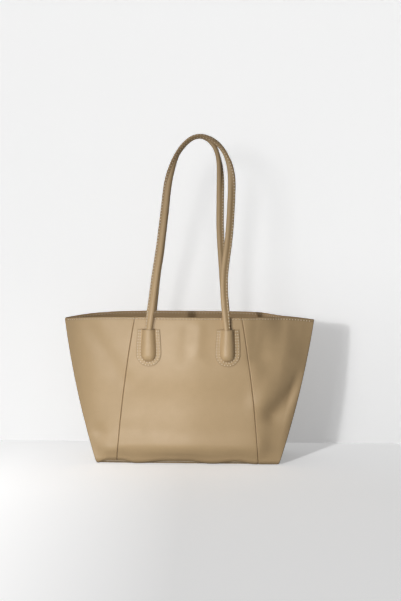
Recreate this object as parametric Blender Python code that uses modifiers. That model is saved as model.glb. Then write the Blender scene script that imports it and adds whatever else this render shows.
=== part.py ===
"""A slouchy leather tote with two long shoulder handles.

Lengths are in metres and +Z is up. The front of the bag faces -Y, and the origin is on the
ground under the middle of the base. Each piece of the back is the matching piece of the
front, turned half a turn about Z.
"""

import math

import bmesh
import bpy
from mathutils import Matrix, Vector

# The body, outside
RIM_WIDTH = 0.431
RIM_DEPTH = 0.100
RIM_HEIGHT = 0.251
CORNER_DROP = 0.0085  # the two ends of the rim sit lower than its middle
BASE_WIDTH = 0.310
BASE_DEPTH = 0.126
BASE_ROLL = 0.010  # radius where the front and back turn under
SIDE_BOW = 0.0057  # how far each side edge bows outwards at half height
BELLY = 0.008  # how far the front and back swell at half height
GUSSET_BASE_WIDTH = 0.122
GUSSET_RIM_WIDTH = 0.011
GUSSET_TUCK = 0.006  # how far each gusset folds inwards at half height
SEAM_BASE_SPAN = 0.240  # between the two front seams
SEAM_RIM_SPAN = 0.180
SEAM_BOW = 0.0037
RIM_FULLNESS = 4.0  # exponent of the rim's lens outline
BASE_FULLNESS = 6.0
RIM_ARCH_POWER = 2.5
# The right end of the mouth is pressed shut. Places along the half width, and up the height
PINCH_START_SHARE = 0.55
PINCH_END_SHARE = 0.77
PINCH_FOOT_SHARE = 0.25
PINCH_SHARE = 0.88
PINCH_RISE_POWER = 1.5

# Thicknesses of the layers, from the outside in
CLEARANCE = 0.0003
LEATHER = 0.0016
STAY = 0.0005  # rim tape and patches
STAY_ROOM = 0.0005  # free space on each side of them
FACING = 0.0012
LINING = 0.0007
BOARD = 0.0020
STAY_INSET = LEATHER + STAY_ROOM
LINER_INSET = STAY_INSET + STAY + STAY_ROOM

# Inside pieces
FACING_HEIGHT = 0.035
FACING_END = 0.005  # the facing stops this far from the side edge
TAPE_HEIGHT = 0.008
TAPE_DROP = 0.0015
LINING_FOOT_RISE = 0.0006  # the wall lining starts above the base lining
BOARD_CORNER = 0.012

# Handle tabs: leather patches sewn over the ends of the handles
TAB_SPACING = 0.133
TAB_DROP = 0.0203  # from the rim to a tab's mouth
TAB_MOUTH_WIDTH = 0.037
TAB_WIDTH = 0.042
TAB_LENGTH = 0.0625
TAB_LEATHER = 0.0015
TAB_TIP_WIDTH = 0.003
BULGE_WIDTH = 0.024
BULGE_MARGIN = 0.008  # flat leather below the padded middle
BULGE_END_LENGTH = 0.014
BULGE_ROOM = 0.0007  # free space over the handle's end
PATCH_MARGIN = 0.004  # the patch behind a tab is smaller all round

# Handles: a rolled tube over a cord, its long seam sewn as a flange
TUBE_WIDTH = 0.009
TUBE_THICKNESS = 0.008
FLANGE_WIDTH = 0.004
FLANGE_THICKNESS = 0.0032
CORE_DIAMETER = 0.0054
HANDLE_RISE = 0.3275  # from a tab's mouth to the middle of the handle's top
HANDLE_STANDOFF = 0.0008  # extra space between handle and wall at a tab's mouth
HANDLE_TUCK = 0.044  # length of handle inside a tab
HANDLE_TAPER = 0.012
PARED_END_SHARE = 0.6
LEAN_POWER = 1.25
TWIST_START_SHARE = 0.45
TWIST_END_SHARE = 0.90
PIVOT_STANDOFF = 0.0006  # the swing axis lies this far in front of a tab's mouth

# Routes of the handles seen from the front, as shares of half the tab spacing and of the rise
FRONT_ROUTE_SHARES = (
    (-0.985, 0.000), (-0.930, 0.130), (-0.850, 0.270), (-0.765, 0.380), (-0.690, 0.500),
    (-0.620, 0.620), (-0.580, 0.710), (-0.525, 0.785), (-0.425, 0.865), (-0.305, 0.915),
    (-0.130, 0.960), (0.060, 0.990), (0.270, 1.000), (0.500, 0.987), (0.710, 0.955),
    (0.860, 0.912), (0.965, 0.860), (1.025, 0.800), (1.045, 0.730), (1.030, 0.640),
    (1.005, 0.540), (0.970, 0.456), (0.920, 0.374), (0.875, 0.290), (0.870, 0.210),
    (0.895, 0.125), (0.967, 0.000),
)
BACK_ROUTE_SHARES = (
    (-0.985, 0.000), (-0.955, 0.130), (-0.880, 0.270), (-0.790, 0.380), (-0.715, 0.500),
    (-0.640, 0.620), (-0.600, 0.710), (-0.545, 0.785), (-0.435, 0.865), (-0.310, 0.915),
    (-0.130, 0.960), (0.060, 0.990), (0.260, 1.000), (0.460, 0.985), (0.610, 0.953),
    (0.700, 0.912), (0.745, 0.860), (0.755, 0.800), (0.755, 0.730), (0.760, 0.640),
    (0.775, 0.540), (0.800, 0.456), (0.835, 0.374), (0.865, 0.290), (0.890, 0.210),
    (0.920, 0.125), (0.967, 0.000),
)

# Magnetic snap inside the rim
SNAP_DROP = 0.022
SOCKET_DIAMETER = 0.018
SOCKET_THICKNESS = 0.0036
SOCKET_BORE = 0.0056
SOCKET_BORE_DEPTH = 0.0024
STUD_DIAMETER = 0.015
STUD_THICKNESS = 0.0018
STUD_KNOB = 0.0046
STUD_KNOB_HEIGHT = 0.0022
STEM_DIAMETER = 0.0040
WASHER_DIAMETER = 0.0120
SNAP_SIDES = 16

# Mesh steps
ROLL_ROWS = 3
WALL_ROWS = 9
CENTRE_COLUMNS = 10
SIDE_COLUMNS = 9
TAPE_END_COLUMNS = 1  # the rim tape stops this many columns from the side edge
GUSSET_COLUMNS = 4
TAB_BORDER_COLUMNS = 1
TAB_BULGE_COLUMNS = 8
TAB_STRAIGHT_ROWS = 3
TAB_ROUND_ROWS = 6
PATCH_STEPS = 3
TUBE_SIDES = 10
LOOP_STEPS = 40
TUCK_STEPS = 5
SLOPE_STEP_SHARE = 0.001
ALL_COLUMNS = CENTRE_COLUMNS + 2 * SIDE_COLUMNS
ROLL_END_SLANT = LEATHER * math.tan(math.pi / 4 / ROLL_ROWS)  # of the leather's hidden edge

TAN = (0.49, 0.345, 0.205, 1.0)
TAN_SHADE = (0.40, 0.275, 0.160, 1.0)
LINING_BEIGE = (0.55, 0.47, 0.36, 1.0)
WEB_WHITE = (0.62, 0.58, 0.50, 1.0)
BOARD_GREY = (0.22, 0.21, 0.20, 1.0)
CORD_WHITE = (0.70, 0.68, 0.62, 1.0)
PALE_BRASS = (0.72, 0.56, 0.30, 1.0)

FRONT, BACK = 1, -1
HALF_TURN = Matrix.Rotation(math.pi, 4, "Z")


def clear_scene():
    """Start with nothing in the scene."""
    for item in list(bpy.data.objects):
        bpy.data.objects.remove(item, do_unlink=True)


def make_collection(name):
    collection = bpy.data.collections.new(name)
    bpy.context.scene.collection.children.link(collection)
    return collection


def make_material(name, colour, roughness, metallic=0.0):
    material = bpy.data.materials.new(name)
    material.use_nodes = True
    shader = material.node_tree.nodes["Principled BSDF"]
    shader.inputs["Base Color"].default_value = colour
    shader.inputs["Roughness"].default_value = roughness
    shader.inputs["Metallic"].default_value = metallic
    material.diffuse_color = colour
    return material


clear_scene()
BAG = make_collection("slouchy_bag")
CUTTERS = make_collection("cutters")
SMOOTH_LEATHER = make_material("smooth_leather", TAN, 0.55)
FACING_LEATHER = make_material("facing_leather", TAN_SHADE, 0.60)
LINING_CLOTH = make_material("lining_cloth", LINING_BEIGE, 0.85)
STAY_WEB = make_material("stay_web", WEB_WHITE, 0.90)
BASE_BOARD = make_material("base_board", BOARD_GREY, 0.70)
HANDLE_CORD = make_material("handle_cord", CORD_WHITE, 0.90)
BRASS = make_material("pale_brass", PALE_BRASS, 0.30, 1.0)


def blend(low, high, share):
    return low + (high - low) * share


def bowed(low, high, bow, share):
    """A straight change from low to high that swells by bow half way."""
    return blend(low, high, share) + 4 * bow * share * (1 - share)


def ease(share):
    share = min(1.0, max(0.0, share))
    return share * share * (3 - 2 * share)


# The body's outer surface. "across" runs from -1 at the left side edge to 1 at the right one, and
# "rise" from 0 at the hidden edge under the base, over 1 where the roll ends, to 2 at the rim.

def rim_height(across):
    return RIM_HEIGHT - CORNER_DROP * abs(across) ** RIM_ARCH_POWER


def half_width(level):
    return bowed(BASE_WIDTH / 2, RIM_WIDTH / 2, SIDE_BOW, level)


def middle_depth(level):
    return bowed(BASE_DEPTH / 2, RIM_DEPTH / 2, BELLY, level)


def edge_depth(level):
    return blend(GUSSET_BASE_WIDTH / 2, GUSSET_RIM_WIDTH / 2, level)


def pinch(across, level):
    """How far the right end of the mouth is pressed shut, from 0 to 1."""
    outwards = (across - PINCH_START_SHARE) / (PINCH_END_SHARE - PINCH_START_SHARE)
    upwards = max(0, level - PINCH_FOOT_SHARE) / (1 - PINCH_FOOT_SHARE)
    return PINCH_SHARE * ease(outwards) * upwards ** PINCH_RISE_POWER


def depth(across, level, side=FRONT):
    """Distance of the front, or of the back turned to the front, from the middle plane."""
    fullness = blend(BASE_FULLNESS, RIM_FULLNESS, level)
    swell = (1 - abs(across) ** fullness) * (1 - pinch(side * across, level))
    return edge_depth(level) + (middle_depth(level) - edge_depth(level)) * swell


def seam_across(level):
    """Where the front seam crosses a level, as a share of the half width."""
    return bowed(SEAM_BASE_SPAN / 2, SEAM_RIM_SPAN / 2, SEAM_BOW, level) / half_width(level)


def level_and_tuck(across, rise):
    """Share of the rim's height, and how far the roll has turned under, at a rise."""
    if rise < 1:
        angle = rise * math.pi / 2
        height = BASE_ROLL * (1 - math.cos(angle))
        return height / rim_height(across), BASE_ROLL * (1 - math.sin(angle))
    foot = BASE_ROLL / rim_height(across)
    return blend(foot, 1, rise - 1), 0.0


def skin(across, rise, side=FRONT):
    level, tuck = level_and_tuck(across, rise)
    x = across * half_width(level)
    return Vector((x, tuck - depth(across, level, side), level * rim_height(across)))


def skin_normal(across, rise, side=FRONT):
    step = SLOPE_STEP_SHARE
    sideways = skin(across + step, rise, side) - skin(across - step, rise, side)
    upwards = skin(across, rise + step, side) - skin(across, rise - step, side)
    return sideways.cross(upwards).normalized()


def wall(across, rise, inset=0.0, side=FRONT):
    """A point of the wall, inset from the outer surface along its normal."""
    return skin(across, rise, side) - skin_normal(across, rise, side) * inset


def rise_at(height, across):
    foot = BASE_ROLL / rim_height(across)
    return 1 + (height / rim_height(across) - foot) / (1 - foot)


def roll_rise_at(height, inset):
    """The rise at which a layer on the roll reaches a height."""
    return math.acos((BASE_ROLL - height) / (BASE_ROLL - inset)) / (math.pi / 2)


def over_wall(x, height, out):
    """The point at a width and a height that stands out from the wall."""
    across, foot_height = x / half_width(1), height
    for _ in range(8):
        point = wall(across, rise_at(foot_height, across), -out)
        across += (x - point.x) / half_width(1)
        foot_height += height - point.z
    return point


def across_of_column(column_share, level, reach=1.0):
    """Spreads the columns of an inner layer like those of the three panels outside it."""
    from_middle = (column_share - 0.5) * ALL_COLUMNS
    seam = seam_across(level)
    if abs(from_middle) <= CENTRE_COLUMNS / 2:
        return seam * from_middle / (CENTRE_COLUMNS / 2)
    outwards = (abs(from_middle) - CENTRE_COLUMNS / 2) / SIDE_COLUMNS
    return math.copysign(min(reach, blend(seam, 1, outwards)), from_middle)


def rise_of_row(row_share, first_rise=0.0):
    """Spreads rows over the roll and then over the wall above it."""
    rows = row_share * (ROLL_ROWS + WALL_ROWS)
    if rows < ROLL_ROWS:
        return blend(first_rise, 1, rows / ROLL_ROWS)
    return 1 + (rows - ROLL_ROWS) / WALL_ROWS


def add_object(name, mesh, material, collection=BAG):
    mesh.materials.append(material)
    item = bpy.data.objects.new(name, mesh)
    collection.objects.link(item)
    return item


def add_sheet(name, columns, rows, place, thickness, material, side=FRONT):
    """A grid laid on a surface by place(column_share, row_share), then thickened inwards."""
    sheet = bmesh.new()
    bmesh.ops.create_grid(sheet, x_segments=columns, y_segments=rows, size=1)
    for vert in sheet.verts:
        vert.co = place((vert.co.x + 1) / 2, (vert.co.y + 1) / 2)
    if side == BACK:
        sheet.transform(HALF_TURN)
    mesh = bpy.data.meshes.new(name)
    sheet.to_mesh(mesh)
    sheet.free()
    mesh.shade_smooth()
    item = add_object(name, mesh, material)
    shell = item.modifiers.new("thickness", "SOLIDIFY")
    shell.thickness = thickness
    shell.offset = -1
    shell.use_even_offset = True
    return item


def side_name(side):
    return "front" if side == FRONT else "back"


def hand_name(side, hand):
    """Left and right as seen from the front of the bag."""
    return "left" if side * hand < 0 else "right"


# Leather body

def centre_panel(side):
    def place(column, row):
        rise = rise_of_row(row)
        level, _ = level_and_tuck(0, rise)
        reach = seam_across(level) - CLEARANCE / 2 / half_width(level)
        return wall(blend(-reach, reach, column), rise)

    name = f"{side_name(side)}_centre_panel"
    return add_sheet(
        name, CENTRE_COLUMNS, ROLL_ROWS + WALL_ROWS, place, LEATHER, SMOOTH_LEATHER, side
    )


def side_panel(side, hand):
    def place(column, row):
        rise = rise_of_row(row)
        level, _ = level_and_tuck(0, rise)
        inner = seam_across(level) + CLEARANCE / 2 / half_width(level)
        across = blend(-1, -inner, column) if hand < 0 else blend(inner, 1, column)
        return wall(across, rise, 0, side)

    name = f"{side_name(side)}_{hand_name(side, hand)}_panel"
    return add_sheet(
        name, SIDE_COLUMNS, ROLL_ROWS + WALL_ROWS, place, LEATHER, SMOOTH_LEATHER, side
    )


def gusset(name, side, inset, edge_inset, foot_rise, top_drop, thickness, material):
    """The folded side between front and back. The right one is the left one turned round."""
    def place(column, row):
        rise = rise_of_row(row, foot_rise)
        top = rise_at(rim_height(1) - top_drop, 1)
        rise = min(rise, 1) + max(rise - 1, 0) * (top - 1)
        height, roll_reach = skin(1, rise).z, BASE_ROLL - edge_inset
        if rise < 1:
            angle = rise * math.pi / 2
            height = BASE_ROLL - roll_reach * math.cos(angle)
            roll_reach *= math.sin(angle)
        level = height / rim_height(1)
        half = edge_depth(level) - BASE_ROLL + roll_reach
        fold = 4 * GUSSET_TUCK * level * (1 - level) * (1 - (2 * column - 1) ** 2)
        return Vector((inset + fold - half_width(level), blend(half, -half, column), height))

    return add_sheet(
        name, GUSSET_COLUMNS, ROLL_ROWS + WALL_ROWS, place, thickness, material, side
    )


def base_sheet(name, half_length, half_depth_at, height, thickness, material):
    def place(column, row):
        across = across_of_column(column, 0)
        reach = half_depth_at(across)
        return Vector((across * half_length, blend(reach, -reach, row), height))

    return add_sheet(name, ALL_COLUMNS, 2, place, thickness, material)


def base_panel():
    def half_depth_at(across):
        return depth(across, 0) - BASE_ROLL - ROLL_END_SLANT - CLEARANCE

    return base_sheet("base_panel", BASE_WIDTH / 2, half_depth_at, 0, LEATHER, SMOOTH_LEATHER)


def base_board():
    """A stiff board with round corners that lies on the base leather."""
    half_length = BASE_WIDTH / 2 - LEATHER - 2 * CLEARANCE
    half_depth = GUSSET_BASE_WIDTH / 2 - BASE_ROLL - CLEARANCE
    low = LEATHER + CLEARANCE
    block = bmesh.new()
    bmesh.ops.create_cube(block, size=1)
    bmesh.ops.scale(block, vec=(2 * half_length, 2 * half_depth, BOARD), verts=block.verts)
    bmesh.ops.translate(block, vec=(0, 0, low + BOARD / 2), verts=block.verts)
    upright = [e for e in block.edges if abs(e.verts[0].co.z - e.verts[1].co.z) > BOARD / 2]
    bmesh.ops.bevel(
        block, geom=upright, offset=BOARD_CORNER, segments=4, profile=0.5, affect="EDGES"
    )
    mesh = bpy.data.meshes.new("base_board")
    block.to_mesh(mesh)
    block.free()
    return add_object("base_board", mesh, BASE_BOARD)


# Layers inside the leather

BASE_LINING_HEIGHT = LEATHER + BOARD + 2 * CLEARANCE
LINING_FOOT = BASE_LINING_HEIGHT + LINING + LINING_FOOT_RISE


def wall_lining(side):
    foot_rise = roll_rise_at(LINING_FOOT, LINER_INSET)

    def place(column, row):
        rise = rise_of_row(row, foot_rise)
        level, _ = level_and_tuck(1, rise)
        reach = 1 - LINER_INSET / half_width(level)
        across = across_of_column(column, level, reach)
        top = rise_at(rim_height(across) - FACING_HEIGHT - CLEARANCE, across)
        rise = min(rise, 1) + max(rise - 1, 0) * (top - 1)
        return wall(across, rise, LINER_INSET, side)

    name = f"{side_name(side)}_lining"
    return add_sheet(
        name, ALL_COLUMNS, ROLL_ROWS + WALL_ROWS, place, LINING, LINING_CLOTH, side
    )


def base_lining():
    reach_angle = math.acos((BASE_ROLL - LINING_FOOT) / (BASE_ROLL - LINER_INSET))
    reach = (BASE_ROLL - LINER_INSET) * math.sin(reach_angle)

    def half_depth_at(across):
        return depth(across, 0) - BASE_ROLL + reach - CLEARANCE

    half_length = BASE_WIDTH / 2 - LINER_INSET
    return base_sheet(
        "base_lining", half_length, half_depth_at, BASE_LINING_HEIGHT, LINING, LINING_CLOTH
    )


def rim_facing(side):
    """The leather band inside the rim."""
    reach = 1 - FACING_END / half_width(1)

    def place(column, row):
        across = across_of_column(column, 1, reach)
        height = rim_height(across) - FACING_HEIGHT * (1 - row)
        return wall(across, rise_at(height, across), LINER_INSET, side)

    name = f"{side_name(side)}_rim_facing"
    return add_sheet(name, ALL_COLUMNS, 1, place, FACING, FACING_LEATHER, side)


def rim_tape(side):
    """A tape between leather and facing that keeps the rim from stretching."""
    columns = ALL_COLUMNS - 2 * TAPE_END_COLUMNS
    skipped = TAPE_END_COLUMNS / ALL_COLUMNS

    def place(column, row):
        across = across_of_column(blend(skipped, 1 - skipped, column), 1)
        height = rim_height(across) - TAPE_DROP - TAPE_HEIGHT * (1 - row)
        return wall(across, rise_at(height, across), STAY_INSET, side)

    name = f"{side_name(side)}_rim_tape"
    return add_sheet(name, columns, 1, place, STAY, STAY_WEB, side)


# Handle tabs

TAB_MOUTH = RIM_HEIGHT - TAB_DROP
TAB_SHOULDER = TAB_LENGTH - TAB_WIDTH / 2
BULGE_HEIGHT = TUBE_THICKNESS + HANDLE_STANDOFF + BULGE_ROOM


def tab_half_width(drop):
    """Half the tab's width at a distance below its mouth."""
    if drop < TAB_SHOULDER:
        swell = math.sin(drop / TAB_SHOULDER * math.pi / 2)
        return blend(TAB_MOUTH_WIDTH, TAB_WIDTH, swell) / 2
    below = (drop - TAB_SHOULDER) / (TAB_WIDTH / 2)
    return max(TAB_TIP_WIDTH / 2, TAB_WIDTH / 2 * math.sqrt(max(0.0, 1 - below * below)))


def tab_drop(row):
    """Spreads rows over the tab's straight part and, closer at the tip, over its round end."""
    rows = (1 - row) * (TAB_STRAIGHT_ROWS + TAB_ROUND_ROWS)
    if rows < TAB_STRAIGHT_ROWS:
        return TAB_SHOULDER * rows / TAB_STRAIGHT_ROWS
    angle = (rows - TAB_STRAIGHT_ROWS) / TAB_ROUND_ROWS * math.pi / 2
    return TAB_SHOULDER + TAB_WIDTH / 2 * math.sin(angle)


def bulge(offset, drop):
    """Height of the padded middle of a tab over the wall."""
    start = TAB_LENGTH - BULGE_MARGIN - BULGE_END_LENGTH
    along = max(0.0, drop - start) / BULGE_END_LENGTH
    sideways = abs(offset) / (BULGE_WIDTH / 2)
    if along >= 1 or sideways >= 1:
        return 0.0
    return BULGE_HEIGHT * math.sqrt((1 - sideways ** 2) * (1 - along ** 2))


def tab_offset(column, drop):
    """Spreads columns over the flat borders and, closer, over the padded middle."""
    columns = 2 * TAB_BORDER_COLUMNS + TAB_BULGE_COLUMNS
    from_middle = (column - 0.5) * columns
    inner = min(BULGE_WIDTH / 2, tab_half_width(drop) * (1 - 1 / columns))
    inner_columns = TAB_BULGE_COLUMNS / 2
    if abs(from_middle) <= inner_columns:
        return inner * from_middle / inner_columns
    outwards = (abs(from_middle) - inner_columns) / TAB_BORDER_COLUMNS
    return math.copysign(blend(inner, tab_half_width(drop), outwards), from_middle)


def handle_tab(side, hand):
    middle = hand * TAB_SPACING / 2

    def place(column, row):
        drop = tab_drop(row)
        offset = tab_offset(column, drop)
        out = CLEARANCE + bulge(offset, drop) + TAB_LEATHER
        return over_wall(middle + offset, TAB_MOUTH - drop, out)

    name = f"{side_name(side)}_{hand_name(side, hand)}_handle_tab"
    columns = 2 * TAB_BORDER_COLUMNS + TAB_BULGE_COLUMNS
    rows = TAB_STRAIGHT_ROWS + TAB_ROUND_ROWS
    return add_sheet(name, columns, rows, place, TAB_LEATHER, SMOOTH_LEATHER, side)


def tab_patch(side, hand):
    """A stiff patch inside the wall that the tab's stitches pull on."""
    middle = hand * TAB_SPACING / 2

    def place(column, row):
        drop = blend(TAB_LENGTH - PATCH_MARGIN, PATCH_MARGIN, row)
        half = min(tab_half_width(drop), TAB_MOUTH_WIDTH / 2) - PATCH_MARGIN
        return over_wall(
            middle + half * (2 * column - 1), TAB_MOUTH - drop, -STAY_INSET
        )

    name = f"{side_name(side)}_{hand_name(side, hand)}_tab_patch"
    return add_sheet(name, PATCH_STEPS, PATCH_STEPS, place, STAY, STAY_WEB, side)


# Handles

def catmull(points, position):
    """A smooth curve through the points, at a position counted in points."""
    index = min(int(position), len(points) - 2)
    share = position - index
    before = points[max(index - 1, 0)]
    start, end = points[index], points[index + 1]
    after = points[min(index + 2, len(points) - 1)]
    pull = (end - before) * 0.5
    leave = (after - start) * 0.5
    cubed, squared = share ** 3, share ** 2
    return (
        start * (2 * cubed - 3 * squared + 1)
        + pull * (cubed - 2 * squared + share)
        + end * (3 * squared - 2 * cubed)
        + leave * (cubed - squared)
    )


def evenly_spaced(points, steps):
    """Points at equal distances along the smooth curve through the given ones."""
    fine = [catmull(points, i / 20) for i in range(20 * (len(points) - 1) + 1)]
    lengths = [0.0]
    for start, end in zip(fine, fine[1:]):
        lengths.append(lengths[-1] + (end - start).length)
    chosen, index = [], 0
    for step in range(steps + 1):
        wanted = lengths[-1] * step / steps
        while index < len(fine) - 2 and lengths[index + 1] < wanted:
            index += 1
        share = (wanted - lengths[index]) / (lengths[index + 1] - lengths[index])
        chosen.append(fine[index].lerp(fine[index + 1], share))
    return chosen


def mouth_point(x):
    """Middle of the handle's tube where it enters a tab."""
    return over_wall(x, TAB_MOUTH, TUBE_THICKNESS / 2 + CLEARANCE + HANDLE_STANDOFF)


def loop_points(route_shares, mirror):
    """Middle line of the free part of a handle, leaning in until the two handles meet."""
    half_span = TAB_SPACING / 2
    start_y = mouth_point(half_span).y
    top_y = -(TUBE_WIDTH + CLEARANCE) / 2
    points = []
    for x_share, rise_share in route_shares:
        y = blend(start_y, top_y, rise_share ** LEAN_POWER)
        z = TAB_MOUTH + rise_share * HANDLE_RISE
        points.append(Vector((mirror * x_share * half_span, y, z)))
    return evenly_spaced(points, LOOP_STEPS)


def tucked_points(x):
    """Middle line of a handle's end inside its tab, from the mouth down."""
    points = []
    for step in range(1, TUCK_STEPS + 1):
        drop = HANDLE_TUCK * step / TUCK_STEPS
        standoff = HANDLE_STANDOFF * (1 - step / TUCK_STEPS)
        out = TUBE_THICKNESS / 2 + CLEARANCE + standoff
        points.append(over_wall(x, TAB_MOUTH - drop, out))
    return points


def handle_route(side):
    """Middle line of a whole handle, from the tip in one tab to the tip in the other."""
    shares = FRONT_ROUTE_SHARES if side == FRONT else BACK_ROUTE_SHARES
    loop = loop_points(shares, side)
    if side == BACK:
        loop.reverse()
    first = list(reversed(tucked_points(loop[0].x)))
    return first + loop + tucked_points(loop[-1].x)


def twist_at(point):
    """The strap turns a quarter on its way up, so that it bends the easy way at the top."""
    climbed = (point.z - TAB_MOUTH) / HANDLE_RISE
    span = TWIST_END_SHARE - TWIST_START_SHARE
    return math.pi / 2 * ease((climbed - TWIST_START_SHARE) / span)


def taper_at(point):
    """The end of the handle is pared thinner inside its tab."""
    left = point.z - (TAB_MOUTH - HANDLE_TUCK)
    return blend(PARED_END_SHARE, 1, ease(left / HANDLE_TAPER))


def strap_profile():
    """Section of the handle: the rolled tube, with the sewn flange on one side."""
    profile = bpy.data.curves.new("strap_profile", "CURVE")
    profile.dimensions = "2D"
    spline = profile.splines.new("POLY")
    start = math.asin(FLANGE_THICKNESS / TUBE_THICKNESS)
    points = []
    for step in range(TUBE_SIDES + 1):
        angle = blend(start, 2 * math.pi - start, step / TUBE_SIDES)
        points.append((-TUBE_WIDTH / 2 * math.cos(angle), TUBE_THICKNESS / 2 * math.sin(angle)))
    tip = -TUBE_WIDTH / 2 - FLANGE_WIDTH
    points += [(tip, -FLANGE_THICKNESS / 2), (tip, FLANGE_THICKNESS / 2)]
    spline.points.add(len(points) - 1)
    for target, (x, y) in zip(spline.points, points):
        target.co = (x, y, 0, 1)
    spline.use_cyclic_u = True
    item = bpy.data.objects.new("strap_profile", profile)
    CUTTERS.objects.link(item)
    item.hide_render = True
    item.display_type = "WIRE"
    return item


def swept_mesh(name, points, profile=None, radius=0.0):
    """A closed mesh swept along the points: a round cord, or a profile that twists and tapers."""
    curve = bpy.data.curves.new(name, "CURVE")
    curve.dimensions = "3D"
    curve.twist_mode = "Z_UP"
    curve.use_fill_caps = True
    if profile is None:
        curve.bevel_depth = radius
        curve.bevel_resolution = 2
    else:
        curve.bevel_mode = "OBJECT"
        curve.bevel_object = profile
    spline = curve.splines.new("POLY")
    spline.points.add(len(points) - 1)
    for target, point in zip(spline.points, points):
        target.co = (point.x, point.z, -point.y, 1)
        target.tilt = twist_at(point) if profile else 0
        target.radius = taper_at(point) if profile else 1
    item = bpy.data.objects.new(name, curve)
    CUTTERS.objects.link(item)
    item.rotation_euler = (math.pi / 2, 0, 0)
    bpy.context.view_layer.update()
    seen = item.evaluated_get(bpy.context.evaluated_depsgraph_get())
    mesh = bpy.data.meshes.new_from_object(seen)
    mesh.transform(item.matrix_world)
    bpy.data.objects.remove(item, do_unlink=True)
    mesh.materials.clear()
    swept = bmesh.new()
    swept.from_mesh(mesh)
    bmesh.ops.remove_doubles(swept, verts=swept.verts, dist=CLEARANCE / 10)
    bmesh.ops.recalc_face_normals(swept, faces=swept.faces)
    swept.to_mesh(mesh)
    swept.free()
    return mesh


def cut_level(mesh, height, keep_above):
    """Parts a swept mesh at a level and closes the cut."""
    cut = bmesh.new()
    cut.from_mesh(mesh)
    everything = cut.verts[:] + cut.edges[:] + cut.faces[:]
    result = bmesh.ops.bisect_plane(
        cut,
        geom=everything,
        plane_co=(0, 0, height),
        plane_no=(0, 0, 1),
        clear_inner=keep_above,
        clear_outer=not keep_above,
    )
    edges = [g for g in result["geom_cut"] if isinstance(g, bmesh.types.BMEdge)]
    bmesh.ops.edgeloop_fill(cut, edges=edges)
    bmesh.ops.recalc_face_normals(cut, faces=cut.faces)
    cut.to_mesh(mesh)
    cut.free()
    return mesh


def one_side(mesh, hand):
    """Keeps the end of the handle on one side of the bag's middle."""
    kept = bmesh.new()
    kept.from_mesh(mesh)
    gone = [v for v in kept.verts if v.co.x * hand < 0]
    bmesh.ops.delete(kept, geom=gone, context="VERTS")
    kept.to_mesh(mesh)
    kept.free()
    return mesh


def turned_for(mesh, side):
    if side == BACK:
        mesh.transform(HALF_TURN)
    return mesh


def handle_pivot(side):
    """A point on the axis about which a handle swings, at its tabs' mouths."""
    out = CLEARANCE + BULGE_HEIGHT + TAB_LEATHER + PIVOT_STANDOFF
    point = over_wall(TAB_SPACING / 2, TAB_MOUTH, out)
    return Vector((0, side * point.y, TAB_MOUTH))


def add_moving(name, mesh, material, side, axis):
    """Adds a piece whose parent empty lies on its swing axis."""
    item = add_object(name, turned_for(mesh, side), material)
    item.data.shade_smooth()
    item.parent = axis
    item.matrix_parent_inverse = axis.matrix_world.inverted()
    return item


def handle(side, profile):
    """The free loop and its cord, and the two ends held in the tabs."""
    word = side_name(side)
    route = handle_route(side)
    axis = bpy.data.objects.new(f"{word}_handle_axis", None)
    BAG.objects.link(axis)
    axis.location = handle_pivot(side)
    bpy.context.view_layer.update()
    loop_low = TAB_MOUTH + CLEARANCE / 2
    end_high = TAB_MOUTH - CLEARANCE / 2

    cover = cut_level(swept_mesh("cover", route, profile), loop_low, True)
    cover_item = add_moving(f"{word}_handle_cover", cover, SMOOTH_LEATHER, side, axis)
    bore = swept_mesh("bore", route, radius=CORE_DIAMETER / 2 + CLEARANCE)
    cutter = bpy.data.objects.new(f"{word}_handle_bore", turned_for(bore, side))
    CUTTERS.objects.link(cutter)
    cutter.hide_render = True
    cutter.display_type = "WIRE"
    hollow = cover_item.modifiers.new("cord space", "BOOLEAN")
    hollow.operation = "DIFFERENCE"
    hollow.object = cutter

    core = swept_mesh("core", route, radius=CORE_DIAMETER / 2)
    add_moving(f"{word}_handle_cord", cut_level(core, loop_low, True), HANDLE_CORD, side, axis)

    for hand in (-1, 1):
        end = cut_level(swept_mesh("end", route, profile), end_high, False)
        name = f"{word}_{hand_name(side, hand)}_handle_end"
        item = add_object(name, turned_for(one_side(end, hand), side), SMOOTH_LEATHER)
        item.data.shade_smooth()


# Magnetic snap

def snap_seat(side):
    """Frame of the snap: its origin on the facing, +Z into the bag."""
    across = 0.0
    height = rim_height(across) - SNAP_DROP
    rise = rise_at(height, across)
    seat = wall(across, rise, LINER_INSET + FACING + CLEARANCE)
    inwards = -skin_normal(across, rise)
    frame = Matrix.Translation(seat) @ inwards.to_track_quat("Z", "X").to_matrix().to_4x4()
    return HALF_TURN @ frame if side == BACK else frame


def turned_piece(name, outline, side, material, collection=BAG):
    """An outline of (radius, height) points spun about the snap's axis."""
    mesh = bpy.data.meshes.new(name)
    outline_points = [(radius, 0, height) for radius, height in outline]
    steps = range(len(outline) - 1)
    mesh.from_pydata(outline_points, [(i, i + 1) for i in steps], [])
    item = add_object(name, mesh, material, collection)
    item.matrix_world = snap_seat(side)
    screw = item.modifiers.new("turning", "SCREW")
    screw.steps = SNAP_SIDES
    screw.render_steps = SNAP_SIDES
    screw.use_merge_vertices = True
    screw.merge_threshold = CLEARANCE / 10
    return item


def snap_socket(side):
    top = SOCKET_THICKNESS
    floor = SOCKET_THICKNESS - SOCKET_BORE_DEPTH
    stem = -(FACING + CLEARANCE)
    outline = [
        (0, floor), (SOCKET_BORE / 2, floor), (SOCKET_BORE / 2, top), (SOCKET_DIAMETER / 2, top),
        (SOCKET_DIAMETER / 2, 0), (STEM_DIAMETER / 2, 0), (STEM_DIAMETER / 2, stem), (0, stem),
    ]
    return turned_piece("snap_socket", outline, side, BRASS)


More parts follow.
